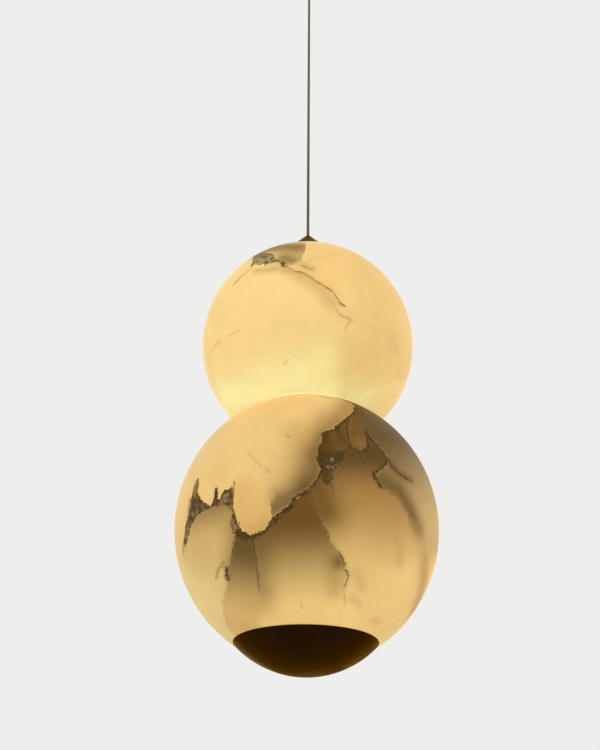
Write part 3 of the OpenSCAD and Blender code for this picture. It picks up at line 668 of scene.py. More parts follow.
@dataclass(frozen=True)
class StoneFinish(Finish):
    """Lit alabaster: cloudy tones, drip-edged layers, veins and crystal nests.

    A globe's mesh carries the tone of each layer and the distance to its edge, in millimetres.
    Sizes of noise are given as a texture's scale.
    """

    slot: str = "alabaster"
    globe: str = "globe"
    layers: tuple[Layer, ...] = ()
    base_share: float = 0.3
    glow: float = 0.66
    shine: float = 0.06
    relief: float = 0.0004
    vein_dark: Colour = paint(58, 40, 16)
    vein_grey: Colour = paint(118, 98, 58)
    lip_pale: Colour = paint(250, 226, 160)
    brown: Colour = paint(132, 98, 44)
    nest_light: Colour = paint(168, 144, 96)
    wobble_scale: float = 95.0
    fine_scale: float = 320.0
    swell_scale: float = 75.0
    cloud_scale: float = 17.0
    nest_scale: float = 250.0
    streak_scales: Triple = (110.0, 110.0, 26.0)
    back_cloud_scale: float = 9.0
    back_vein_scale: float = 7.0

    def title(self) -> str:
        """Returns the name of the material."""
        return super().title() + "_" + self.globe

    def shade(self, bench: Bench, shader: Node, shop: EffectShop) -> None:
        """Builds up the stone from its tones, layers, nests and veins.

        Args:
            bench: The material's bench.
            shader: The material's shader.
            shop: The shared shader groups.
        """
        place = bench.place()
        fine = bench.noise(place, self.fine_scale, 4.0, 0.65)
        moves = {
            "Wobble": bench.noise(place, self.wobble_scale, 5.0, 0.62),
            "Fine": fine,
            "Swell": bench.ramp(bench.noise(place, self.swell_scale, 3.0, 0.6), 0.32, 0.68, 0.35, 1.6),
        }
        colour = bench.attribute("tone_" + self.layers[0].name, "Color")
        lines = 0.0
        for layer in self.layers[1:]:
            laid = bench.group(shop.stone_layer, {
                "Under": colour,
                "Over": self.face(bench, shop, layer, colour, place),
                "Distance": bench.attribute("edge_" + layer.name),
                "Soft": bench.attribute("soft_" + layer.name) if layer.fades else 0.5,
                "Rim": bench.attribute("rim_" + layer.name) if layer.rims else 0.0,
                "Lip": layer.lip,
                "Dark": self.vein_dark,
                "Pale": self.lip_pale,
                **moves,
            })
            colour = laid["Colour"]
            lines = bench.math("MAXIMUM", lines, laid["Line"])
        traits = {name.title(): bench.attribute("vein_" + name) for name in Marker.vein_traits}
        drawn = bench.group(shop.vein, {**traits, **moves})
        colour = bench.mix(drawn["Halo"], colour, self.vein_grey)
        colour = bench.mix(drawn["Line"], colour, self.vein_dark)
        lines = bench.math("MAXIMUM", lines, drawn["Line"])
        colour = self.far_side(bench, colour, place)
        # Broad clouds and fine grain
        cloud = bench.ramp(bench.noise(place, self.cloud_scale, 5.0, 0.55, 1.2), 0.3, 0.7, 0.955, 1.035)
        shift = bench.product(cloud, bench.ramp(fine, 0.3, 0.7, 0.98, 1.02))
        grey = bench.put("CombineColor", {0: shift, 1: shift, 2: shift}).outputs[0]
        colour = bench.mix(1.0, colour, grey, "MULTIPLY")
        rough = bench.plus(bench.ramp(lines, 0.0, 1.0, 0.42, 0.62), bench.product(fine, 0.08))
        bench.feed(shader, {
            "Base Color": bench.mix(1.0, colour, (self.base_share,) * 3, "MULTIPLY"),
            "Emission Color": colour,
            "Emission Strength": self.glow,
            "Specular IOR Level": self.shine,
            "Roughness": rough,
        })
        height = bench.math("SUBTRACT", bench.product(fine, 0.3), bench.product(lines, 0.7))
        self.bump(bench, shader, height, self.relief, 0.4)

    def face(self, bench: Bench, shop: EffectShop, layer: Layer, under: Feed, place: Feed) -> Socket:
        """Returns the colour of a layer's own face.

        Args:
            bench: The material's bench.
            shop: The shared shader groups.
            layer: The layer.
            under: The colour of what lies under it, which shows between crystals.
            place: The piece's own coordinates.

        Returns:
            The colour's socket.
        """
        tone = bench.attribute("tone_" + layer.name, "Color")
        if layer.texture is Texture.STREAKED:
            streak = bench.put("Mapping", {"Vector": place, "Scale": self.streak_scales}).outputs[0]
            share = bench.ramp(bench.noise(streak, 1.0, 4.0, 0.6), 0.38, 0.66, 0.0, 0.4)
            return bench.mix(share, tone, self.brown)
        if layer.texture is Texture.CRYSTALS:
            nest = bench.group(shop.crystals, {"Vector": place, "Size": self.nest_scale})
            colour = bench.mix(bench.product(nest["Grain"], 0.5), tone, under)
            colour = bench.mix(bench.product(nest["Pale"], 0.45), colour, self.nest_light)
            return bench.mix(bench.product(nest["Crack"], 0.75), colour, self.vein_dark)
        return tone

    def far_side(self, bench: Bench, colour: Feed, place: Feed) -> Socket:
        """Adds clouds and veins of their own to the side that the photograph doesn't show.

        Args:
            bench: The material's bench.
            colour: The stone's colour so far.
            place: The piece's own coordinates.

        Returns:
            The colour with them.
        """
        back = bench.attribute("back")
        broad = bench.noise(place, self.back_cloud_scale, 5.0, 0.55, 1.6)
        colour = bench.mix(bench.product(bench.ramp(broad, 0.5, 0.68), back, 0.5), colour, self.brown)
        curves = bench.noise(place, self.back_vein_scale, 6.0, 0.6, 1.1)
        bend = bench.math("ABSOLUTE", bench.math("SUBTRACT", curves, 0.5))
        thin = bench.product(bench.ramp(bend, 0.009, 0.002), bench.ramp(broad, 0.42, 0.6), back)
        return bench.mix(bench.product(thin, 0.8), colour, self.vein_dark)


# ---------------------------------------------------------------- the place of the camera


@dataclass(frozen=True)
class Viewpoint:
    """Where the photograph was taken from, as a pinhole over a picture of 600 by 750."""

    place: Triple = (-0.0088, -0.74513, -1.27842)
    pitch: float = math.radians(36.309)
    roll: float = math.radians(0.6909)
    focal: float = 800.0
    centre: Point2 = (300.0, 300.0)
    picture: Point2 = (600.0, 750.0)
    sensor: float = 36.0

    def axes(self) -> tuple[Vector, Vector, Vector]:
        """Works out which way the camera looks.

        Returns:
            The directions to the right, up and forward.
        """
        forward = Vector((0.0, math.cos(self.pitch), math.sin(self.pitch)))
        flat_up = Vector((0.0, -math.sin(self.pitch), math.cos(self.pitch)))
        flat_right = Vector((1.0, 0.0, 0.0))
        right = math.cos(self.roll) * flat_right + math.sin(self.roll) * flat_up
        up = math.cos(self.roll) * flat_up - math.sin(self.roll) * flat_right
        return right, up, forward

    def make_camera(self) -> None:
        """Makes the scene's camera."""
        right, up, forward = self.axes()
        data = bpy.data.cameras.new("camera")
        data.sensor_width = self.sensor
        data.lens = self.focal * self.sensor / self.picture[1]
        data.shift_x = (self.picture[0] / 2 - self.centre[0]) / self.picture[1]
        data.shift_y = (self.centre[1] - self.picture[1] / 2) / self.picture[1]
        data.clip_start = 0.01
        camera = stand("camera", data)
        turn = Matrix((right, up, -forward)).transposed().to_4x4()
        camera.matrix_world = Matrix.Translation(Vector(self.place)) @ turn
        bpy.context.scene.camera = camera


@dataclass(frozen=True)
class GlobeMap:
    """A flat map of a globe round the point that faces the viewer, in millimetres.

    The globe is folded at its widest. The far half twists, in radians, and drifts, as a share of
    the radius, away from a mirror image of the near one. Spots outside the outline are pulled
    away from it, because they stand for places behind it.
    """

    centre: Triple
    radius: float
    viewpoint: Viewpoint
    twist: float = 1.9
    drift: float = 0.5
    drift_waves: Point2 = (5.0, 4.0)
    outer_pull: float = 1.4

    def frame(self) -> tuple[np.ndarray, np.ndarray, np.ndarray]:
        """Works out the map's axes.

        Returns:
            The directions to the right, up and towards the viewer.
        """
        axis = np.array(self.viewpoint.place) - np.array(self.centre)
        axis /= np.linalg.norm(axis)
        right = np.cross((0.0, 0.0, 1.0), axis)
        right /= np.linalg.norm(right)
        return right, np.cross(axis, right), axis

    def ways(self, points: np.ndarray) -> np.ndarray:
        """Returns the directions of places, seen from the globe's centre, one row each."""
        found = points - np.array(self.centre)
        return found / np.linalg.norm(found, axis=1)[:, None]

    def flat(self, points: np.ndarray) -> np.ndarray:
        """Maps places on the globe.

        Args:
            points: Places in metres, one row each.

        Returns:
            Their places on the map in millimetres, one row each.
        """
        ways = self.ways(points)
        behind = np.maximum(ways[:, 1], 0.0)
        turn = self.twist * behind
        side = ways[:, 0] * np.cos(turn) - ways[:, 2] * np.sin(turn)
        height = ways[:, 0] * np.sin(turn) + ways[:, 2] * np.cos(turn)
        ways = np.stack((side, -np.abs(ways[:, 1]), height), 1)
        right, up, axis = self.frame()
        angle = np.arccos(np.clip(ways @ axis, -1.0, 1.0))
        across, rise = ways @ right, ways @ up
        span = np.maximum(np.hypot(across, rise), 1e-9)
        place = np.stack((across / span, rise / span), 1) * (angle * self.radius / MM)[:, None]
        first, second = self.drift_waves
        slide = np.stack((np.sin(first * height + 0.7), 1.0 + 0.5 * np.sin(second * side)), 1)
        return place + slide * (self.drift * behind * self.radius / MM)[:, None]

    def pixel(self, spot: Point2) -> np.ndarray:
        """Maps a spot of the photograph.

        A spot outside the globe's outline stands for a place round the back of it.

        Args:
            spot: The spot in pixels, from the picture's top left corner.

        Returns:
            Its place on the map in millimetres.
        """
        right, up, forward = self.viewpoint.axes()
        way = forward * self.viewpoint.focal
        way += right * (spot[0] - self.viewpoint.centre[0]) - up * (spot[1] - self.viewpoint.centre[1])
        way.normalize()
        start = Vector(self.viewpoint.place) - Vector(self.centre)
        nearest = start + way * -start.dot(way)
        miss = nearest.length / self.radius
        if miss < 1.0:
            nearest -= way * math.sqrt(self.radius**2 - nearest.length_squared)
        place = self.flat(np.array([nearest + Vector(self.centre)]))[0]
        return place * (1.0 + self.outer_pull * max(0.0, miss - 1.0))


def segments_from(points: np.ndarray, line: np.ndarray, closed: bool) -> tuple[np.ndarray, np.ndarray]:
    """Measures how far places lie from a line of straight pieces.

    Args:
        points: Places on a map, one row each.
        line: The line's corners, one row each.
        closed: Whether the last corner joins the first.

    Returns:
        The distance of each place, and its distance to the side of the nearest piece, above zero
        on its left.
    """
    ends = np.roll(line, -1, axis=0) if closed else line[1:]
    starts = line if closed else line[:-1]
    best = np.full(len(points), 1e9)
    beside = np.full(len(points), 1e9)
    for start, end in zip(starts, ends):
        run = end - start
        length = max(float(np.hypot(*run)), 1e-6)
        away = points - start
        share = np.clip(away @ run / length**2, 0.0, 1.0)
        gap = np.hypot(*(away - share[:, None] * run).T)
        side = (run[0] * away[:, 1] - run[1] * away[:, 0]) / length
        nearer = gap < best
        best = np.where(nearer, gap, best)
        beside = np.where(nearer, side, beside)
    return best, beside


def inside(points: np.ndarray, outline: np.ndarray) -> np.ndarray:
    """Tells which places lie inside an outline.

    Args:
        points: Places on a map, one row each.
        outline: The outline's corners, one row each.

    Returns:
        True for each place inside.
    """
    found = np.zeros(len(points), bool)
    for start, end in zip(outline, np.roll(outline, -1, axis=0)):
        crosses = (start[1] > points[:, 1]) != (end[1] > points[:, 1])
        rise = end[1] - start[1] if abs(end[1] - start[1]) > 1e-9 else 1e-9
        at = start[0] + (points[:, 1] - start[1]) / rise * (end[0] - start[0])
        found ^= crosses & (points[:, 0] < at)
    return found


class Marker:
    """Works out the markings of one globe at places on its surface."""

    vein_traits: ClassVar[tuple[str, ...]] = ("side", "near", "width", "strength")

    def __init__(self, markings: Markings, chart: GlobeMap, points: np.ndarray) -> None:
        """Takes the markings, the map and the places.

        Args:
            markings: The globe's markings.
            chart: The map on which the photograph's spots are laid.
            points: Places on the globe in metres, one row each.
        """
        self.markings = markings
        self.chart = chart
        self.flat = chart.flat(points)

    def line(self, spots: Sequence[Point2]) -> np.ndarray:
        """Lays spots of the photograph on the map and returns them, one row each."""
        return np.array([self.chart.pixel(spot) for spot in spots])

    def gap(self, spots: Sequence[Point2]) -> np.ndarray:
        """Measures how far places lie from spots of the photograph.

        Args:
            spots: One spot, or the corners of a line.

        Returns:
            The distance of each place, in millimetres.
        """
        line = self.line(spots)
        if len(line) == 1:
            return np.hypot(*(self.flat - line[0]).T)
        return segments_from(self.flat, line, False)[0]

    def region(self, spots: Sequence[Point2]) -> np.ndarray:
        """Measures how far places lie inside an outline.

        Args:
            spots: The outline's corners in the photograph.

        Returns:
            The distance of each place to the outline in millimetres, above zero inside.
        """
        outline = self.line(spots)
        gap, _ = segments_from(self.flat, outline, True)
        return np.where(inside(self.flat, outline), gap, -gap)

    def veins(self) -> dict[str, np.ndarray]:
        """Finds the nearest vein.

        Returns:
            The distance to its middle and to its line, its width and its strength, by attribute.
        """
        found = [np.full(len(self.flat), value) for value in (FAR, FAR, 1.0, 0.0)]
        for vein in self.markings.veins:
            gap, beside = segments_from(self.flat, self.line(vein.spots), False)
            nearer = gap < found[1]
            values = (beside, gap, vein.width, vein.strength)
            found = [np.where(nearer, new, old) for new, old in zip(values, found)]
        return {"vein_" + name: values for name, values in zip(self.vein_traits, found)}

    def share(self, change: Shade | Slope) -> np.ndarray:
        """Works out where a change of tone shows.

        Args:
            change: The change.

        Returns:
            How much of it each place has, from 0 to 1.
        """
        if isinstance(change, Shade):
            return change.strength * np.exp(-((self.gap(change.spots) / change.reach) ** 2))
        start, end = self.line((change.start, change.end))
        run = end - start
        along = np.clip((self.flat - start) @ run / float(run @ run), 0.0, 1.0)
        return change.strength * (1 - along * along * (3 - 2 * along))

    def tone(self, layer: Layer) -> np.ndarray:
        """Works out a layer's tone with its changes.

        Args:
            layer: The layer.

        Returns:
            One colour for each place.
        """
        result = np.tile(np.array(layer.tone, float), (len(self.flat), 1))
        for change in layer.changes:
            share = self.share(change)[:, None]
            result = result * (1 - share) + np.array(change.tone) * share
        return result

    def stretches(self, found: Sequence[Stretch], base: float) -> np.ndarray:
        """Works out a value that stretches of an edge raise.

        Args:
            found: The stretches.
            base: The value away from them.

        Returns:
            The value at each place.
        """
        result = np.full(len(self.flat), base)
        for stretch in found:
            near = np.exp(-((self.gap(stretch.spots) / stretch.reach) ** 4))
            result = np.maximum(result, stretch.value * near)
        return result

    def all(self) -> dict[str, np.ndarray]:
        """Works out every marking.

        Returns:
            The values at each place, by the attribute's name.
        """
        found = self.veins()
        for layer in self.markings.layers:
            found["tone_" + layer.name] = self.tone(layer)
            if layer.outline:
                found["edge_" + layer.name] = self.region(layer.outline)
            if layer.rims:
                found["rim_" + layer.name] = self.stretches(layer.rims, 0.0)
            if layer.fades:
                found["soft_" + layer.name] = self.stretches(layer.fades, 0.5)
        return found


# ---------------------------------------------------------------- markings that the photograph shows

# The left limb of the core, top to bottom, and its right limb, bottom to top
CORE_LEFT: tuple[Point2, ...] = (
    (235, 530), (234, 540), (233, 552), (229, 567), (226, 576), (227, 588), (223, 604), (228, 626),
    (234, 645),
)
CORE_RIGHT: tuple[Point2, ...] = (
    (341, 624), (344, 603), (344, 588), (347, 575), (345, 568), (340, 556), (333, 545), (326, 530),
    (319, 517), (313, 503), (311, 489),
)
PANEL_LEFT: tuple[Point2, ...] = (
    (253, 534), (254.5, 545), (256, 556), (257.5, 568), (259, 586), (260, 606), (261, 626),
)
# The scalloped edge of the drip, left to right
DRIP_EDGE: tuple[Point2, ...] = (
    (234.4, 492), (233.3, 498.6), (233.7, 504), (235.2, 510.5), (235.9, 516.4), (238.2, 524.3),
    (243.1, 531.2), (250.1, 535.2), (257, 533.8), (262.9, 529.2), (267.8, 525.3), (271, 517.5),
)

LOWER_MARKINGS = Markings((
    Layer("body", paint(243, 205, 130), changes=(
        Slope((362, 490), (366, 592), paint(172, 130, 68)),
        Slope((350, 454), (356, 500), paint(96, 68, 24)),
        Shade(((316, 486), (322, 500), (326, 512)), 14.0, paint(104, 76, 32), 0.82),
        Shade(((424, 540), (424, 580), (414, 610)), 13.0, paint(198, 158, 92), 0.9),
        # Painted light: brighter near the cap, over the lower light module
        Shade(((372, 612), (352, 618)), 26.0, paint(250, 210, 134), 0.7),
        Shade(((352, 598), (359, 604)), 4.5, paint(210, 170, 106), 0.55),
        Shade(((374, 620), (378, 623)), 4.0, paint(212, 172, 108), 0.5),
        Shade(((356, 572), (362, 588)), 5.0, paint(214, 168, 100), 0.45),
        Shade(((393, 528), (398, 545), (400, 562)), 5.0, paint(198, 152, 86), 0.4),
    )),
    Layer("wing", paint(234, 202, 136), outline=(
        (60, 480), (60, 700), (250, 700), (252, 640), (248, 600), (246, 560), (244, 520), (236, 500),
        (220, 480), (180, 470),
    ), changes=(
        Slope((208, 545), (206, 600), paint(214, 178, 110)),
        Slope((208, 498), (210, 544), paint(146, 114, 62)),
        Shade(((232, 530), (230, 560)), 9.0, paint(150, 116, 62), 0.5),
    )),
    Layer("core", paint(218, 178, 108), outline=(
        *CORE_LEFT, (270, 655), (320, 650), *CORE_RIGHT, (300, 496), (286, 507), (273, 520), (264, 531),
        (251, 534), (240, 528),
    ), changes=(
        Slope((242, 545), (246, 616), paint(106, 82, 40)),
    ), rims=(
        Stretch(((234, 540), (230, 564)), 0.4),
        Stretch(((229, 568), (226, 577)), 0.85, 4.0),
        Stretch(((227, 586), (223, 604), (230, 632)), 0.3),
    )),
    Layer("panel", paint(246, 208, 130), outline=(
        *PANEL_LEFT, (268, 655), (320, 650), *CORE_RIGHT, (300, 496), (286, 507), (273, 520), (264, 531),
    ), changes=(
        Slope((292, 518), (300, 612), paint(112, 80, 30)),
        Shade(((332, 556), (334, 590)), 9.0, paint(150, 112, 54), 0.35),
        Shade(((339, 562),), 6.0, paint(110, 78, 30), 0.8),
        Shade(((258, 546), (260, 566), (261, 588)), 13.0, paint(112, 84, 38), 0.55),
        Shade(((262, 592), (263, 606)), 12.0, paint(176, 134, 74), 0.4),
    ), rims=(
        Stretch(((313, 503), (326, 530), (336, 550)), 0.3),
        Stretch(((339, 556), (345, 568), (346, 574), (344.5, 582)), 0.7, 5.0),
        Stretch(((344, 588), (344, 600)), 0.35, 5.0),
    ), fades=(
        Stretch(((260, 600), (261, 626), (266, 645)), 8.0, 12.0),
    )),
    Layer("slab", paint(208, 170, 104), outline=(
        (356, 399), (361, 405), (363.6, 413), (363, 422), (364.5, 430), (369, 436), (373.5, 440),
        (379, 445.5), (383, 451.5), (387.5, 457.5), (389.5, 461.5), (386, 466), (380, 470), (375, 475),
        (377, 481), (380, 486.5), (385, 489), (392, 493), (399.5, 499), (405, 508.5), (410, 521),
        (415.5, 530), (418.5, 538), (424, 548), (436, 560), (470, 540), (470, 440), (430, 380), (380, 370),
    ), changes=(
        Slope((384, 432), (424, 540), paint(102, 79, 35)),
        Shade(((384, 482), (398, 490), (409, 508), (417, 530)), 11.0, paint(112, 84, 36), 0.85),
        Shade(((368, 416), (372, 428)), 10.0, paint(100, 78, 36), 0.8),
        Shade(((391, 463), (399, 473), (411, 480)), 5.0, paint(92, 68, 28), 0.55),
    ), rims=(
        Stretch(((364, 424), (369, 436), (379, 446), (387, 457)), 0.75, 5.0),
        Stretch(((389, 461), (380, 470), (375, 475), (380, 486)), 0.9, 5.0),
        Stretch(((392, 493), (405, 508), (415, 530)), 0.3, 5.0),
    ), fades=(
        Stretch(((416, 532), (424, 548), (436, 560)), 14.0, 16.0),
    )),
    Layer("patch", paint(88, 62, 16), outline=(
        (324, 432), (334, 431), (339, 425), (346, 421), (352, 414), (356, 413), (350, 420), (348, 428),
        (349, 440), (352, 447), (345, 449), (338, 452), (330, 454), (324, 455), (322, 448),
    ), texture=Texture.STREAKED),
    Layer("drip_nest", paint(78, 58, 26), outline=(
        (184, 545), (183, 524), (187, 505), (191, 497), (197, 492), (201, 500), (210, 505), (214, 500),
        (217, 492), (222, 489), (229, 488), (235, 484), (234, 496), (235, 510), (238, 522), (244, 531),
        (252, 535), (262, 530), (270, 520), (276, 515), (285, 507), (292, 503), (293, 507), (288, 512),
        (280, 518), (272, 526), (264, 533), (256, 539), (246, 541), (238, 539), (232, 532), (230, 523),
        (233, 513), (230, 508), (221, 505), (210, 508), (203, 511), (197, 516), (192, 524), (189, 536),
        (186, 548),
    ), texture=Texture.CRYSTALS),
    Layer("side_nest", paint(78, 58, 26), outline=(
        (316, 450), (322, 452), (334, 453), (346, 449), (346, 456), (340, 463), (334, 470), (332, 478),
        (328, 484), (322, 482), (318, 470),
    ), texture=Texture.CRYSTALS),
    Layer("curtain", paint(238, 198, 126), outline=(
        (60, 420), (130, 590), (168, 580), (179, 566), (182.5, 552), (184.5, 536), (187, 520), (190.5, 503),
        (193, 490), (196, 481), (199.6, 476.5), (198.6, 484), (197.7, 490.7), (199.2, 496.5),
        (202.6, 500.6), (206.5, 503.4), (210.5, 505), (212.8, 502), (213.9, 498.6), (215, 494),
        (216.2, 488), (217.6, 494), (218.2, 500.4), (219.8, 497), (221.6, 492.6), (226.6, 489.4),
        (229.3, 488.7), (232, 486.4), (234.8, 480.6), (235.3, 487), *DRIP_EDGE, (276, 515.6), (280.7, 512),
        (286.6, 507.5), (291, 504.1), (292.2, 498.6), (296.5, 495.6), (301.4, 493.7), (306.4, 490.7),
        (311.3, 485.8), (316.3, 480.4), (319.6, 474.9), (321, 468), (318.6, 463), (317.3, 458.1),
        (317.9, 453.1), (319.6, 445.2), (321.6, 438.3), (322.6, 433), (328.1, 431), (333.1, 429),
        (337, 425.1), (342, 422.3), (345.9, 418.7), (350.9, 414.6), (353.8, 410.6), (354, 405.7),
        (350.9, 402.7), (344, 400), (336, 397.5), (336, 394), (330, 380), (320, 330), (250, 290),
        (120, 330),
    ), changes=(
        Shade(((205, 450), (190, 480)), 26.0, paint(232, 200, 134), 0.8),
        Shade(((250, 408), (290, 402)), 22.0, paint(246, 200, 120), 0.7),
        Shade(((318, 462), (300, 490)), 42.0, paint(190, 150, 90), 0.25),
        Shade(((296, 432), (306, 446)), 14.0, paint(206, 164, 96), 0.6),
        Shade(((352, 404), (346, 416), (332, 426)), 19.0, paint(160, 120, 58), 0.85),
        Shade(((322, 436), (319, 452)), 9.0, paint(120, 92, 46), 0.75),
        Shade(((319, 462), (312, 480)), 20.0, paint(116, 86, 38), 0.88),
        Shade(((306, 488), (294, 498), (280, 506)), 10.0, paint(112, 84, 38), 0.95),
        Shade(((280, 504),), 12.0, paint(140, 110, 62), 0.9),
    ), rims=(
        Stretch(((197, 488), (202, 502), (210, 505)), 0.6, 5.0),
        Stretch(((215, 502), (216, 488)), 1.0, 3.0),
        Stretch(((219, 498), (230, 489), (235, 482)), 0.5, 5.0),
        Stretch(((233, 500), (235, 517)), 0.4, 5.0),
        Stretch(((236, 522), (250, 536), (262, 530), (270, 521)), 0.8, 5.0),
        Stretch(((270, 521), (287, 508), (293, 497), (304, 492), (320, 477)), 0.95, 6.0),
        Stretch(((320, 470), (317, 458), (322, 440)), 0.75, 6.0),
        Stretch(((324, 431), (339, 424), (354, 409)), 0.85, 6.0),
        Stretch(((352, 404), (336, 397)), 0.45, 4.0),
    ), fades=(
        Stretch(((182, 556), (178, 572)), 9.0, 10.0),
    ), lip=0.12),
    Layer("drip", paint(229, 186, 112), outline=(
        *DRIP_EDGE, (271.2, 516), (271.5, 508), (271, 500), (268, 494), (262, 484), (250, 480), (240, 478),
        (235, 484),
    ), changes=(
        Shade(((266, 524), (252, 533)), 8.0, paint(196, 152, 84), 0.5),
    ), rims=(
        Stretch(((271.5, 514), (271.5, 504)), 0.5, 4.0),
    ), fades=(
        Stretch(((268, 494), (262, 484), (250, 480), (236, 482)), 9.0, 10.0),
    )),
    Layer("lobe", paint(116, 83, 28), outline=(
        (348.3, 432.8), (349, 421), (352, 415.5), (361, 415), (363.6, 422), (363.6, 431), (366.6, 439),
        (368, 446.6), (363.6, 450.4), (359, 451), (355.7, 449.7), (351.3, 443.6),
    ), changes=(
        Shade(((358, 418),), 9.0, paint(100, 74, 30), 0.8),
        Shade(((360, 443),), 6.0, paint(146, 106, 50), 0.7),
    ), rims=(
        Stretch(((366, 436), (367, 447), (359, 451)), 0.7, 5.0),
        Stretch(((352, 444), (349, 428)), 0.4, 4.0),
    )),
), (
    Vein(((389.5, 461), (393, 467), (396, 471), (402, 476), (410, 480.5)), 1.6, 0.75),
    Vein(((371, 440), (378, 445.5)), 3.4, 0.95),
    Vein(((366, 430), (369, 436)), 2.3, 0.85),
    Vein(((359, 452), (361, 458), (363.5, 462.5)), 1.2, 0.75),
    Vein(((389, 460), (392.5, 468)), 3.2, 0.85),
    Vein(((374.5, 474), (377, 479), (381, 486)), 1.7, 0.75),
    Vein(((378, 446), (386, 456)), 1.2, 0.6),
    Vein(((190, 499), (188, 512), (186.5, 524), (184.5, 538), (183, 552)), 1.8, 0.35),
    Vein(((216, 490), (215.5, 497), (214, 501)), 1.4, 0.9),
    Vein(((253, 537), (254.5, 548), (256.5, 562), (258, 576), (259, 590)), 0.8, 0.5),
    Vein(((223, 563), (219, 568), (216, 577)), 0.8, 0.45),
    Vein(((226.5, 569), (228.3, 578)), 1.8, 0.85),
    Vein(((322, 396.8), (330, 397.8), (340, 399.8), (350, 402.5)), 1.2, 0.55),
    Vein(((331, 467), (330, 478), (333, 489)), 0.9, 0.5),
    Vein(((248, 452), (254, 459), (260, 465)), 0.7, 0.2),
    Vein(((287, 435), (289, 436.5)), 1.2, 0.2),
    Vein(((267, 470), (268.5, 471.5)), 1.1, 0.18),
    Vein(((301, 603), (302, 606)), 1.2, 0.14),
))

UPPER_MARKINGS = Markings((
    Layer("body", paint(250, 214, 140), changes=(
        Shade(((266, 250), (280, 247), (297, 247)), 24.0, paint(146, 114, 58), 1.0),
        Shade(((284, 258), (292, 261)), 11.0, paint(120, 90, 40), 0.75),
        Shade(((284, 270), (300, 273)), 6.0, paint(200, 160, 88), 0.6),
        Shade(((256, 271), (276, 269)), 5.0, paint(196, 160, 94), 0.6),
        Shade(((300, 277), (320, 289), (332, 303)), 9.0, paint(224, 184, 112), 0.75),
        # Painted light: paler along the left edge, where light shows through the thin stone
        Shade(((206, 320), (203, 350), (210, 385)), 10.0, paint(248, 226, 152), 0.7),
        # Painted light: the stone brighter towards the joint, where the light module shines into it
        Shade(((230, 400), (300, 384), (350, 392)), 30.0, paint(260, 246, 170), 1.0),
        Shade(((326, 352), (322, 372)), 15.0, paint(255, 234, 154), 0.7),
    )),
    Layer("right", paint(244, 203, 128), outline=(
        (287, 267), (297, 271.5), (306, 275), (317, 281), (329, 290), (338, 300), (343, 308), (344, 318),
        (348, 326), (343, 334), (340, 352), (337, 374), (342, 398), (352, 440), (410, 500), (520, 460),
        (540, 330), (470, 220), (360, 205), (312, 225), (307, 240), (304.8, 250.8), (301.2, 259.4),
        (294, 264),
    ), changes=(
        # Painted light: brighter near the joint, where the light module sits
        Shade(((350, 398), (380, 404)), 26.0, paint(255, 230, 150), 0.9),
        Shade(((404, 330), (405, 360), (396, 388)), 10.0, paint(238, 200, 126), 0.7),
        Shade(((392, 348),), 18.0, paint(234, 192, 120), 0.6),
        Shade(((344, 286), (350, 300)), 9.0, paint(246, 212, 140), 0.6),
        Shade(((300, 264), (312, 268)), 5.0, paint(208, 168, 98), 0.6),
    ), rims=(
        Stretch(((304.8, 250.8), (301.2, 259.4)), 0.35, 5.0),
    ), fades=(
        Stretch(((344, 318), (346, 330), (340, 352), (337, 374), (342, 398)), 14.0, 22.0),
        Stretch(((310, 236), (312, 225)), 6.0, 8.0),
        Stretch(((298, 262), (294, 264), (287, 267)), 6.0, 6.0),
    )),
    Layer("crown_nest", paint(84, 62, 28), outline=(
        (252.4, 256.6), (258.1, 253.7), (266.7, 253), (273.2, 254.4), (275.4, 258.7), (281.1, 260.9),
        (284.7, 261.6), (286.8, 263.7), (284, 265.9), (281, 266.6), (279.7, 262.6), (274.6, 261.6),
        (271, 263.7), (267.5, 263.7), (265.3, 265.9), (262.4, 263.7), (258.1, 265.9), (256, 263),
        (252.4, 266.6), (248.8, 268.8), (252.4, 263), (253.1, 259.4),
    ), changes=(
        Shade(((257.5, 259), (265.5, 260)), 2.6, paint(175, 156, 110), 0.85),
    ), texture=Texture.CRYSTALS),
), (
    Vein(
        ((286.8, 266.6), (295.4, 270.9), (304, 273), (311.2, 278), (318.4, 282.4), (324.9, 286.7)), 1.0, 0.55
    ),
    Vein(((324.9, 286.7), (331.3, 290.3), (336.3, 296.7), (339.9, 303.2), (343.5, 305.4)), 1.0, 0.65),
    Vein(((337, 311), (339.9, 314.7), (351.4, 319.7), (345.7, 327.6)), 0.9, 0.3),
    Vein(((304, 266.6), (311.2, 269.5)), 0.9, 0.5),
    Vein(((281.8, 264), (283, 265.6)), 1.8, 0.85),
    Vein(((252, 268), (247, 272), (242.4, 275.2), (234.5, 283.8)), 0.8, 0.5),
    Vein(((208.6, 354.9), (219.4, 341.2)), 0.8, 0.2),
    Vein(((230, 335), (238, 331.2)), 0.8, 0.18),
    Vein(((285, 363), (287, 361)), 1.8, 0.14),
))


# ---------------------------------------------------------------- meshes

# From this angle on an edge stays sharp
SHARP_ANGLE = math.radians(40.0)


def link(
    data: bpy.types.Mesh | bpy.types.Curve, finish: Finish, shop: EffectShop, body: Body, node: str
) -> bpy.types.Object:
    """Makes a piece of finished data, at the origin, in place of a CAD node.

    Args:
        data: The mesh or curve, in its place.
        finish: Its finish.
        shop: The shared shader groups.
        body: The body that it rides on.
        node: The CAD node that it stands for.

    Returns:
        The new object.
    """
    piece = stand(data.name, data)
    data.materials.append(finish.material(shop))
    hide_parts(node)
    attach(piece, body.value)
    return piece


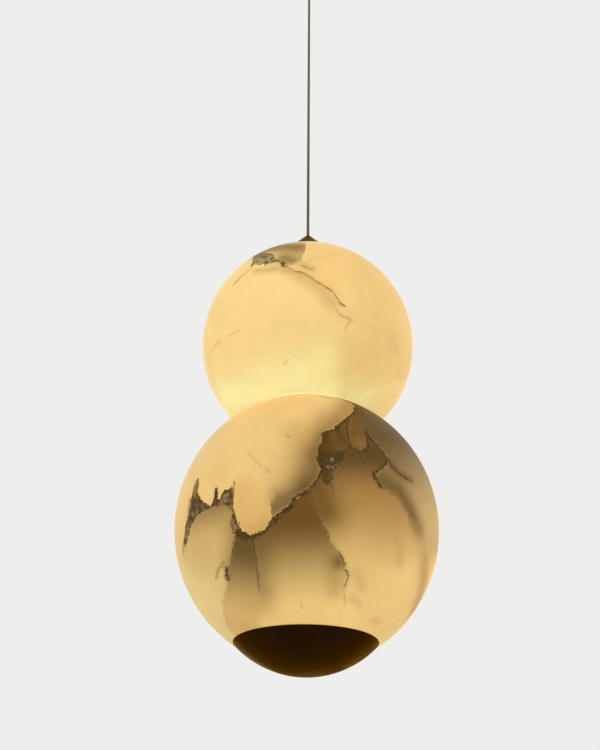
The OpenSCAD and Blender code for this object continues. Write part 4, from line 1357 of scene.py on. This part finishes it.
def spun(name: str, outline: Sequence[Point2], steps: int) -> bpy.types.Mesh:
    """Spins a closed outline round the Z axis.

    Args:
        name: The mesh's name.
        outline: Radius and height of each corner, in millimetres.
        steps: Number of steps in the full turn.

    Returns:
        The mesh, with its faces outwards.
    """
    shape = bmesh.new()
    corners = [shape.verts.new((radius * MM, 0.0, height * MM)) for radius, height in outline]
    edges = [shape.edges.new((corners[i - 1], corners[i])) for i in range(len(corners))]
    bmesh.ops.spin(
        shape, geom=corners + edges, cent=(0.0, 0.0, 0.0), axis=(0.0, 0.0, 1.0), dvec=(0.0, 0.0, 0.0),
        angle=FULL_TURN, steps=steps, use_merge=True,
    )
    bmesh.ops.remove_doubles(shape, verts=shape.verts, dist=1e-7)
    bmesh.ops.recalc_face_normals(shape, faces=shape.faces)
    mesh = modelled(shape, name)
    mesh.shade_smooth()
    mesh.set_sharp_from_angle(angle=SHARP_ANGLE)
    return mesh


def arc(centre: Point2, radius: float, start: float, end: float, steps: int) -> list[Point2]:
    """Returns points on an arc of the section, from one angle to another in degrees."""
    turns = [math.radians(start + (end - start) * i / steps) for i in range(steps + 1)]
    return [(centre[0] + radius * math.cos(t), centre[1] + radius * math.sin(t)) for t in turns]


def give(mesh: bpy.types.Mesh, name: str, values: np.ndarray) -> None:
    """Writes values on a mesh's points.

    Args:
        mesh: The mesh.
        name: The attribute's name.
        values: A number or a colour for each point.
    """
    if values.ndim == 1:
        layer = mesh.attributes.new(name, "FLOAT", "POINT")
        layer.data.foreach_set("value", values.astype(np.float32))
        return
    layer = mesh.attributes.new(name, "FLOAT_COLOR", "POINT")
    full = np.concatenate((values, np.ones((len(values), 1))), 1)
    layer.data.foreach_set("color", full.astype(np.float32).ravel())


# ---------------------------------------------------------------- finishes of the plain pieces

BRONZE = BronzeFinish()
SHEATH = SheathFinish()
ZINC = MetalFinish("zinc_steel", paint(206, 208, 210), paint(150, 152, 156), 0.36)
ZINC_THREAD = ThreadedFinish("zinc_steel", paint(206, 208, 210), paint(132, 134, 138), 0.36)
BRASS = MetalFinish("brass", paint(214, 176, 104), paint(160, 124, 66), 0.34)
ALUMINIUM = MetalFinish("aluminium", paint(222, 224, 226), paint(176, 178, 182), 0.4)
BLACK_STEEL = MetalFinish("black_steel", paint(60, 60, 64), paint(30, 30, 33), 0.42)
# The joint disc and its gaskets glow with painted light, as if lit by the globes on either side
ENAMEL_WITH_PAINTED_GLOW = MouldedFinish("cream_enamel", paint(255, 232, 160), paint(248, 218, 148), 0.4, glow=0.22)
SILICONE = MouldedFinish("silicone", paint(206, 202, 194), paint(176, 171, 162), 0.72)
OPAL = MouldedFinish("opal", paint(255, 244, 214), paint(246, 232, 196), 0.45, glow=0.5)
BOARD = MouldedFinish("white_board", paint(244, 244, 240), paint(224, 224, 218), 0.35)
HOUSING = MouldedFinish("white_housing", paint(240, 240, 236), paint(222, 222, 216), 0.6)
NYLON = MouldedFinish("nylon", paint(238, 234, 220), paint(218, 212, 196), 0.5)
RED_WIRE = MouldedFinish("red_wire", paint(176, 34, 26), paint(140, 24, 20), 0.35)
BLACK_WIRE = MouldedFinish("black_wire", paint(40, 40, 42), paint(24, 24, 26), 0.35)
BROWN_WIRE = MouldedFinish("brown_wire", paint(116, 72, 40), paint(88, 52, 28), 0.35)


# ---------------------------------------------------------------- sub-assemblies

FinishPlan = Mapping[Finish, tuple[str, ...]]


@dataclass
class Assembly:
    """A sub-assembly: the pieces that it builds, and the CAD nodes that it keeps and dresses."""

    nodes: Mapping[str, bpy.types.Object]
    shop: EffectShop
    kept: ClassVar[FinishPlan] = {}

    def build(self) -> list[bpy.types.Object]:
        """Makes and returns the pieces that are modelled anew; a plain sub-assembly has none."""
        return []

    def dress(self) -> list[str]:
        """Gives each CAD node that stays its finish.

        Returns:
            The names of those nodes.
        """
        dressed = [(finish, name) for finish, names in self.kept.items() for name in names]
        for finish, name in dressed:
            for slot in self.nodes[name].material_slots:
                slot.material = finish.material(self.shop)
        return [name for _, name in dressed]


@dataclass
class CeilingFitting(Assembly):
    """Canopy, gland, ceiling plate and the electrical parts in the canopy."""

    kept: ClassVar[FinishPlan] = {
        BRONZE: ("canopy", "cord_gland"),
        SHEATH: ("cord_tail",),
        ZINC: ("ceiling_plate", "hanger_bridge", "bridge_rivets", "hanger_nuts", "driver_screws"),
        ZINC_THREAD: ("hanger_tube",),
        BRASS: ("terminal_screws", "earth_screw"),
        BLACK_STEEL: ("gland_screw",),
        HOUSING: ("led_driver",),
        NYLON: ("terminal_block",),
        BROWN_WIRE: ("driver_leads",),
    }


@dataclass
class Suspension(Assembly):
    """The thin cord between the gland and the collar, on a straight plumb route."""

    top: float = -0.045
    foot: float = -0.639
    diameter: float = 0.0035
    points: int = 31
    rounding: int = 6

    def build(self) -> list[bpy.types.Object]:
        """Makes the cord as a curve.

        Returns:
            The cord.
        """
        data = bpy.data.curves.new("cord", "CURVE")
        data.dimensions = "3D"
        data.bevel_depth = self.diameter / 2
        data.bevel_resolution = self.rounding
        data.use_fill_caps = True
        spline = data.splines.new("POLY")
        steps = self.points - 1
        spline.points.add(steps)
        for index, point in enumerate(spline.points):
            point.co = (0.0, 0.0, self.top + (self.foot - self.top) * index / steps, 1.0)
        piece = link(data, SHEATH, self.shop, Body.CORD, "suspension_cord")
        return [piece]


@dataclass
class SwivelGrip(Assembly):
    """The bell collar with the grip and the cord's end that turn in it."""

    kept: ClassVar[FinishPlan] = {
        BRONZE: ("collar",),
        BRASS: ("cord_grip", "collar_bush"),
        BLACK_STEEL: ("grip_screw",),
        SHEATH: ("cord_end",),
        SILICONE: ("collar_gasket",),
        NYLON: ("crown_bush",),
    }


@dataclass
class GlobeStack(Assembly):
    """The two stone globes with all that clamps and lights them; lengths in millimetres.

    The outer arc stops edge_turn, in degrees, short of a rim, and half a millimetre short of the
    crown's hole, which leaves the eased edge.
    """

    viewpoint: Viewpoint
    rim_r: float = 65.0
    wall: float = 8.0
    bevel: float = 0.8
    crown_hole_r: float = 10.0
    around: int = 384
    along: int = 150
    along_inside: int = 40
    edge_turn: float = 0.5
    back_share: float = 1.6
    kept: ClassVar[FinishPlan] = {
        # These joint parts carry a painted glow
        ENAMEL_WITH_PAINTED_GLOW: ("joint_disc", "joint_gasket_upper", "joint_gasket_lower"),
        ZINC: ("joint_nuts", "bottom_nuts", "bottom_plate", "load_washer"),
        ZINC_THREAD: ("central_tube",),
        ALUMINIUM: ("upper_heat_sink", "lower_heat_sink"),
        SILICONE: ("plate_gasket",),
        OPAL: ("upper_diffuser", "lower_diffuser"),
        BOARD: ("upper_led_board", "lower_led_board"),
        RED_WIRE: ("upper_wires",),
        BLACK_WIRE: ("lower_wires",),
    }

    def build(self) -> list[bpy.types.Object]:
        """Makes both globes.

        Returns:
            The upper and the lower globe.
        """
        return [
            self.globe("upper_globe", "upper_stone", UPPER_MARKINGS, False),
            self.globe("lower_globe", "lower_stone", LOWER_MARKINGS, True),
        ]

    def section(self, outer: float, height: float, cut: float, open_above: bool) -> list[Point2]:
        """Returns a globe's wall in section, round its hollow.

        Args:
            outer: The globe's outer radius.
            height: The height of its centre.
            cut: How far the flat rims lie from the centre.
            open_above: Whether it has a flat rim above too, instead of a small hole in its crown.

        Returns:
            The corners, as radius and height.
        """
        inner = outer - self.wall
        low = math.degrees(math.asin(-cut / outer)) + self.edge_turn
        low_inner = math.degrees(math.asin(-cut / inner))
        if open_above:
            high, high_inner = -low, -low_inner
            last = (self.rim_r - self.bevel, height + cut)
        else:
            hole, ease = self.crown_hole_r, 0.5
            high = math.degrees(math.acos((hole + ease) / outer))
            high_inner = math.degrees(math.acos(hole / inner))
            last = (hole, height + math.sqrt(outer**2 - hole**2) - ease)
        centre = (0.0, height)
        points = arc(centre, outer, high, low, self.along)
        points.append((self.rim_r - self.bevel, height - cut))
        return points + arc(centre, inner, low_inner, high_inner, self.along_inside) + [last]

    def globe(self, node: str, name: str, markings: Markings, open_above: bool) -> bpy.types.Object:
        """Makes one globe in the CAD node's place and size, with its markings.

        Args:
            node: The CAD node that it stands for.
            name: The piece's name.
            markings: What the photograph shows on it.
            open_above: Whether it has a flat rim above too.

        Returns:
            The finished piece.
        """
        lowest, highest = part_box(node)
        outer = (highest[0] - lowest[0]) / 2 / MM
        cut = math.sqrt(outer**2 - self.rim_r**2)
        height = lowest[2] / MM + cut
        mesh = spun(name, self.section(outer, height, cut, open_above), self.around)
        places = np.empty(len(mesh.vertices) * 3, np.float32)
        mesh.vertices.foreach_get("co", places)
        places = places.reshape(-1, 3).astype(float)
        chart = GlobeMap((0.0, 0.0, height * MM), outer * MM, self.viewpoint)
        for label, values in Marker(markings, chart, places).all().items():
            give(mesh, label, values)
        give(mesh, "back", np.clip(chart.ways(places)[:, 1] * self.back_share, 0.0, 1.0))
        finish = StoneFinish(globe=name, layers=markings.layers)
        return link(mesh, finish, self.shop, Body.LAMP, node)


@dataclass
class BottomCap(Assembly):
    """The spun bronze bowl under the lower globe, with a softly rounded lip, and its insert.

    Its arcs start at the lowest turn, in degrees, just off the axis. The lip's rounding starts,
    turns and ends so many degrees below its edge, inside the outer arc by the lip's inset, and
    its flat top stays so many millimetres off the outer and the inner side.
    """

    rim_r: float = 65.0
    wall: float = 2.0
    lowest_turn: float = -89.97
    steps: int = 192
    along: int = 72
    along_inside: int = 48
    lip_turns: Triple = (0.45, 0.2, 0.06)
    lip_turn_inside: float = 0.3
    lip_inset: float = 0.12
    lip_flat: Point2 = (0.25, 0.2)
    kept: ClassVar[FinishPlan] = {BRASS: ("cap_insert",)}

    def section(self) -> list[Point2]:
        """Works out the bowl's wall in section.

        Returns:
            The corners, as radius and height in millimetres.
        """
        lowest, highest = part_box("bottom_cap")
        rim_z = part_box("lower_globe")[0][2] / MM
        depth = rim_z - lowest[2] / MM
        top_z = highest[2] / MM
        outer = (self.rim_r**2 + depth**2) / (2 * depth)
        inner = outer - self.wall
        centre = (0.0, rim_z - depth + outer)
        lip = math.degrees(math.asin((top_z - centre[1]) / outer))
        lip_inner = math.degrees(math.asin((top_z - centre[1]) / inner))
        start, turn, end = (lip - below for below in self.lip_turns)
        points = arc(centre, outer, self.lowest_turn, start, self.along)
        mid = arc(centre, outer - self.lip_inset, turn, end, 2)
        inside_lip = inner * math.cos(math.radians(lip_inner)) + self.lip_flat[1]
        points += [mid[0], (mid[1][0] - self.lip_flat[0], top_z), (inside_lip, top_z)]
        lip_inner -= self.lip_turn_inside
        return points + arc(centre, inner, lip_inner, self.lowest_turn, self.along_inside)

    def build(self) -> list[bpy.types.Object]:
        """Makes the bowl."""
        mesh = spun("bronze_bowl", self.section(), self.steps)
        return [link(mesh, BRONZE, self.shop, Body.CAP, "bottom_cap")]


# ---------------------------------------------------------------- stage and light


@dataclass(frozen=True)
class Lamp:
    """A soft studio lamp: where it stands and its power."""

    name: str
    place: Triple
    power: float


@dataclass
class Studio:
    """Pale floor, pale surroundings and soft lamps."""

    floor_z: float = -1.75
    floor_side: float = 14.0
    floor_tone: Colour = (0.82, 0.815, 0.8)
    floor_roughness: float = 0.9
    aim: Triple = (0.0, 0.0, -0.9)
    shown: Colour = (0.86, 0.855, 0.84)
    sky: Colour = (1.0, 0.985, 0.96)
    ambient: float = 0.5
    lamp_side: float = 1.8
    lamps: tuple[Lamp, ...] = (
        Lamp("key", (-1.6, -2.0, 0.2), 42.0),
        Lamp("fill", (2.0, -1.7, 0.15), 23.0),
        Lamp("back", (2.6, 1.2, 0.1), 14.0),
    )

    def build(self) -> None:
        """Makes the floor, the surroundings and the lamps."""
        shape = bmesh.new()
        bmesh.ops.create_grid(shape, x_segments=1, y_segments=1, size=self.floor_side / 2)
        bmesh.ops.translate(shape, verts=shape.verts, vec=(0.0, 0.0, self.floor_z))
        floor = stand("floor", modelled(shape, "floor"))
        material, bench, shader = surface("floor_paint")
        bench.feed(shader, {"Base Color": self.floor_tone, "Roughness": self.floor_roughness})
        floor.data.materials.append(material)
        self.surroundings()
        for lamp in self.lamps:
            self.hang(lamp)

    def surroundings(self) -> None:
        """Lights softly from all sides and shows pale where the camera looks past the object."""
        world = bpy.data.worlds.new("surroundings")
        bpy.context.scene.world = world
        world.use_nodes = True
        bench = Bench(world.node_tree)
        light = bench.put("Background", {"Color": self.sky, "Strength": self.ambient}).outputs[0]
        seen = bench.put("Background", {"Color": self.shown, "Strength": 1.0}).outputs[0]
        path = bench.put("LightPath").outputs
        direct = bench.math("MAXIMUM", path["Is Camera Ray"], path["Is Glossy Ray"])
        direct = bench.math("MAXIMUM", direct, path["Is Transmission Ray"])
        blend = bench.put("MixShader", {0: direct, 1: light, 2: seen}).outputs[0]
        bench.put("OutputWorld", {"Surface": blend})

    def hang(self, lamp: Lamp) -> None:
        """Hangs one soft lamp that looks at the object.

        Args:
            lamp: The lamp.
        """
        data = bpy.data.lights.new(lamp.name, "AREA")
        data.size = self.lamp_side
        data.energy = lamp.power
        hung = stand(lamp.name, data)
        way = Vector(self.aim) - Vector(lamp.place)
        hung.rotation_euler = way.to_track_quat("-Z", "Y").to_euler()
        hung.location = lamp.place


def main() -> None:
    """Builds the lamp around its frame, cord first."""
    logging.basicConfig(level=logging.INFO, format="%(name)s: %(message)s")
    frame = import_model()
    bpy.context.scene.view_settings.view_transform = "Standard"
    viewpoint = Viewpoint()
    viewpoint.make_camera()
    nodes, shop = frame["nodes"], EffectShop()
    assemblies = (
        Suspension(nodes, shop),
        CeilingFitting(nodes, shop),
        SwivelGrip(nodes, shop),
        GlobeStack(nodes, shop, viewpoint),
        BottomCap(nodes, shop),
    )
    for assembly in assemblies:
        label = type(assembly).__name__
        for piece in assembly.build():
            LOG.info("%s: built %s", label, piece.name)
        for name in assembly.dress():
            LOG.info("%s: dressed %s", label, name)
    Studio().build()


if __name__ == "__main__":
    main()
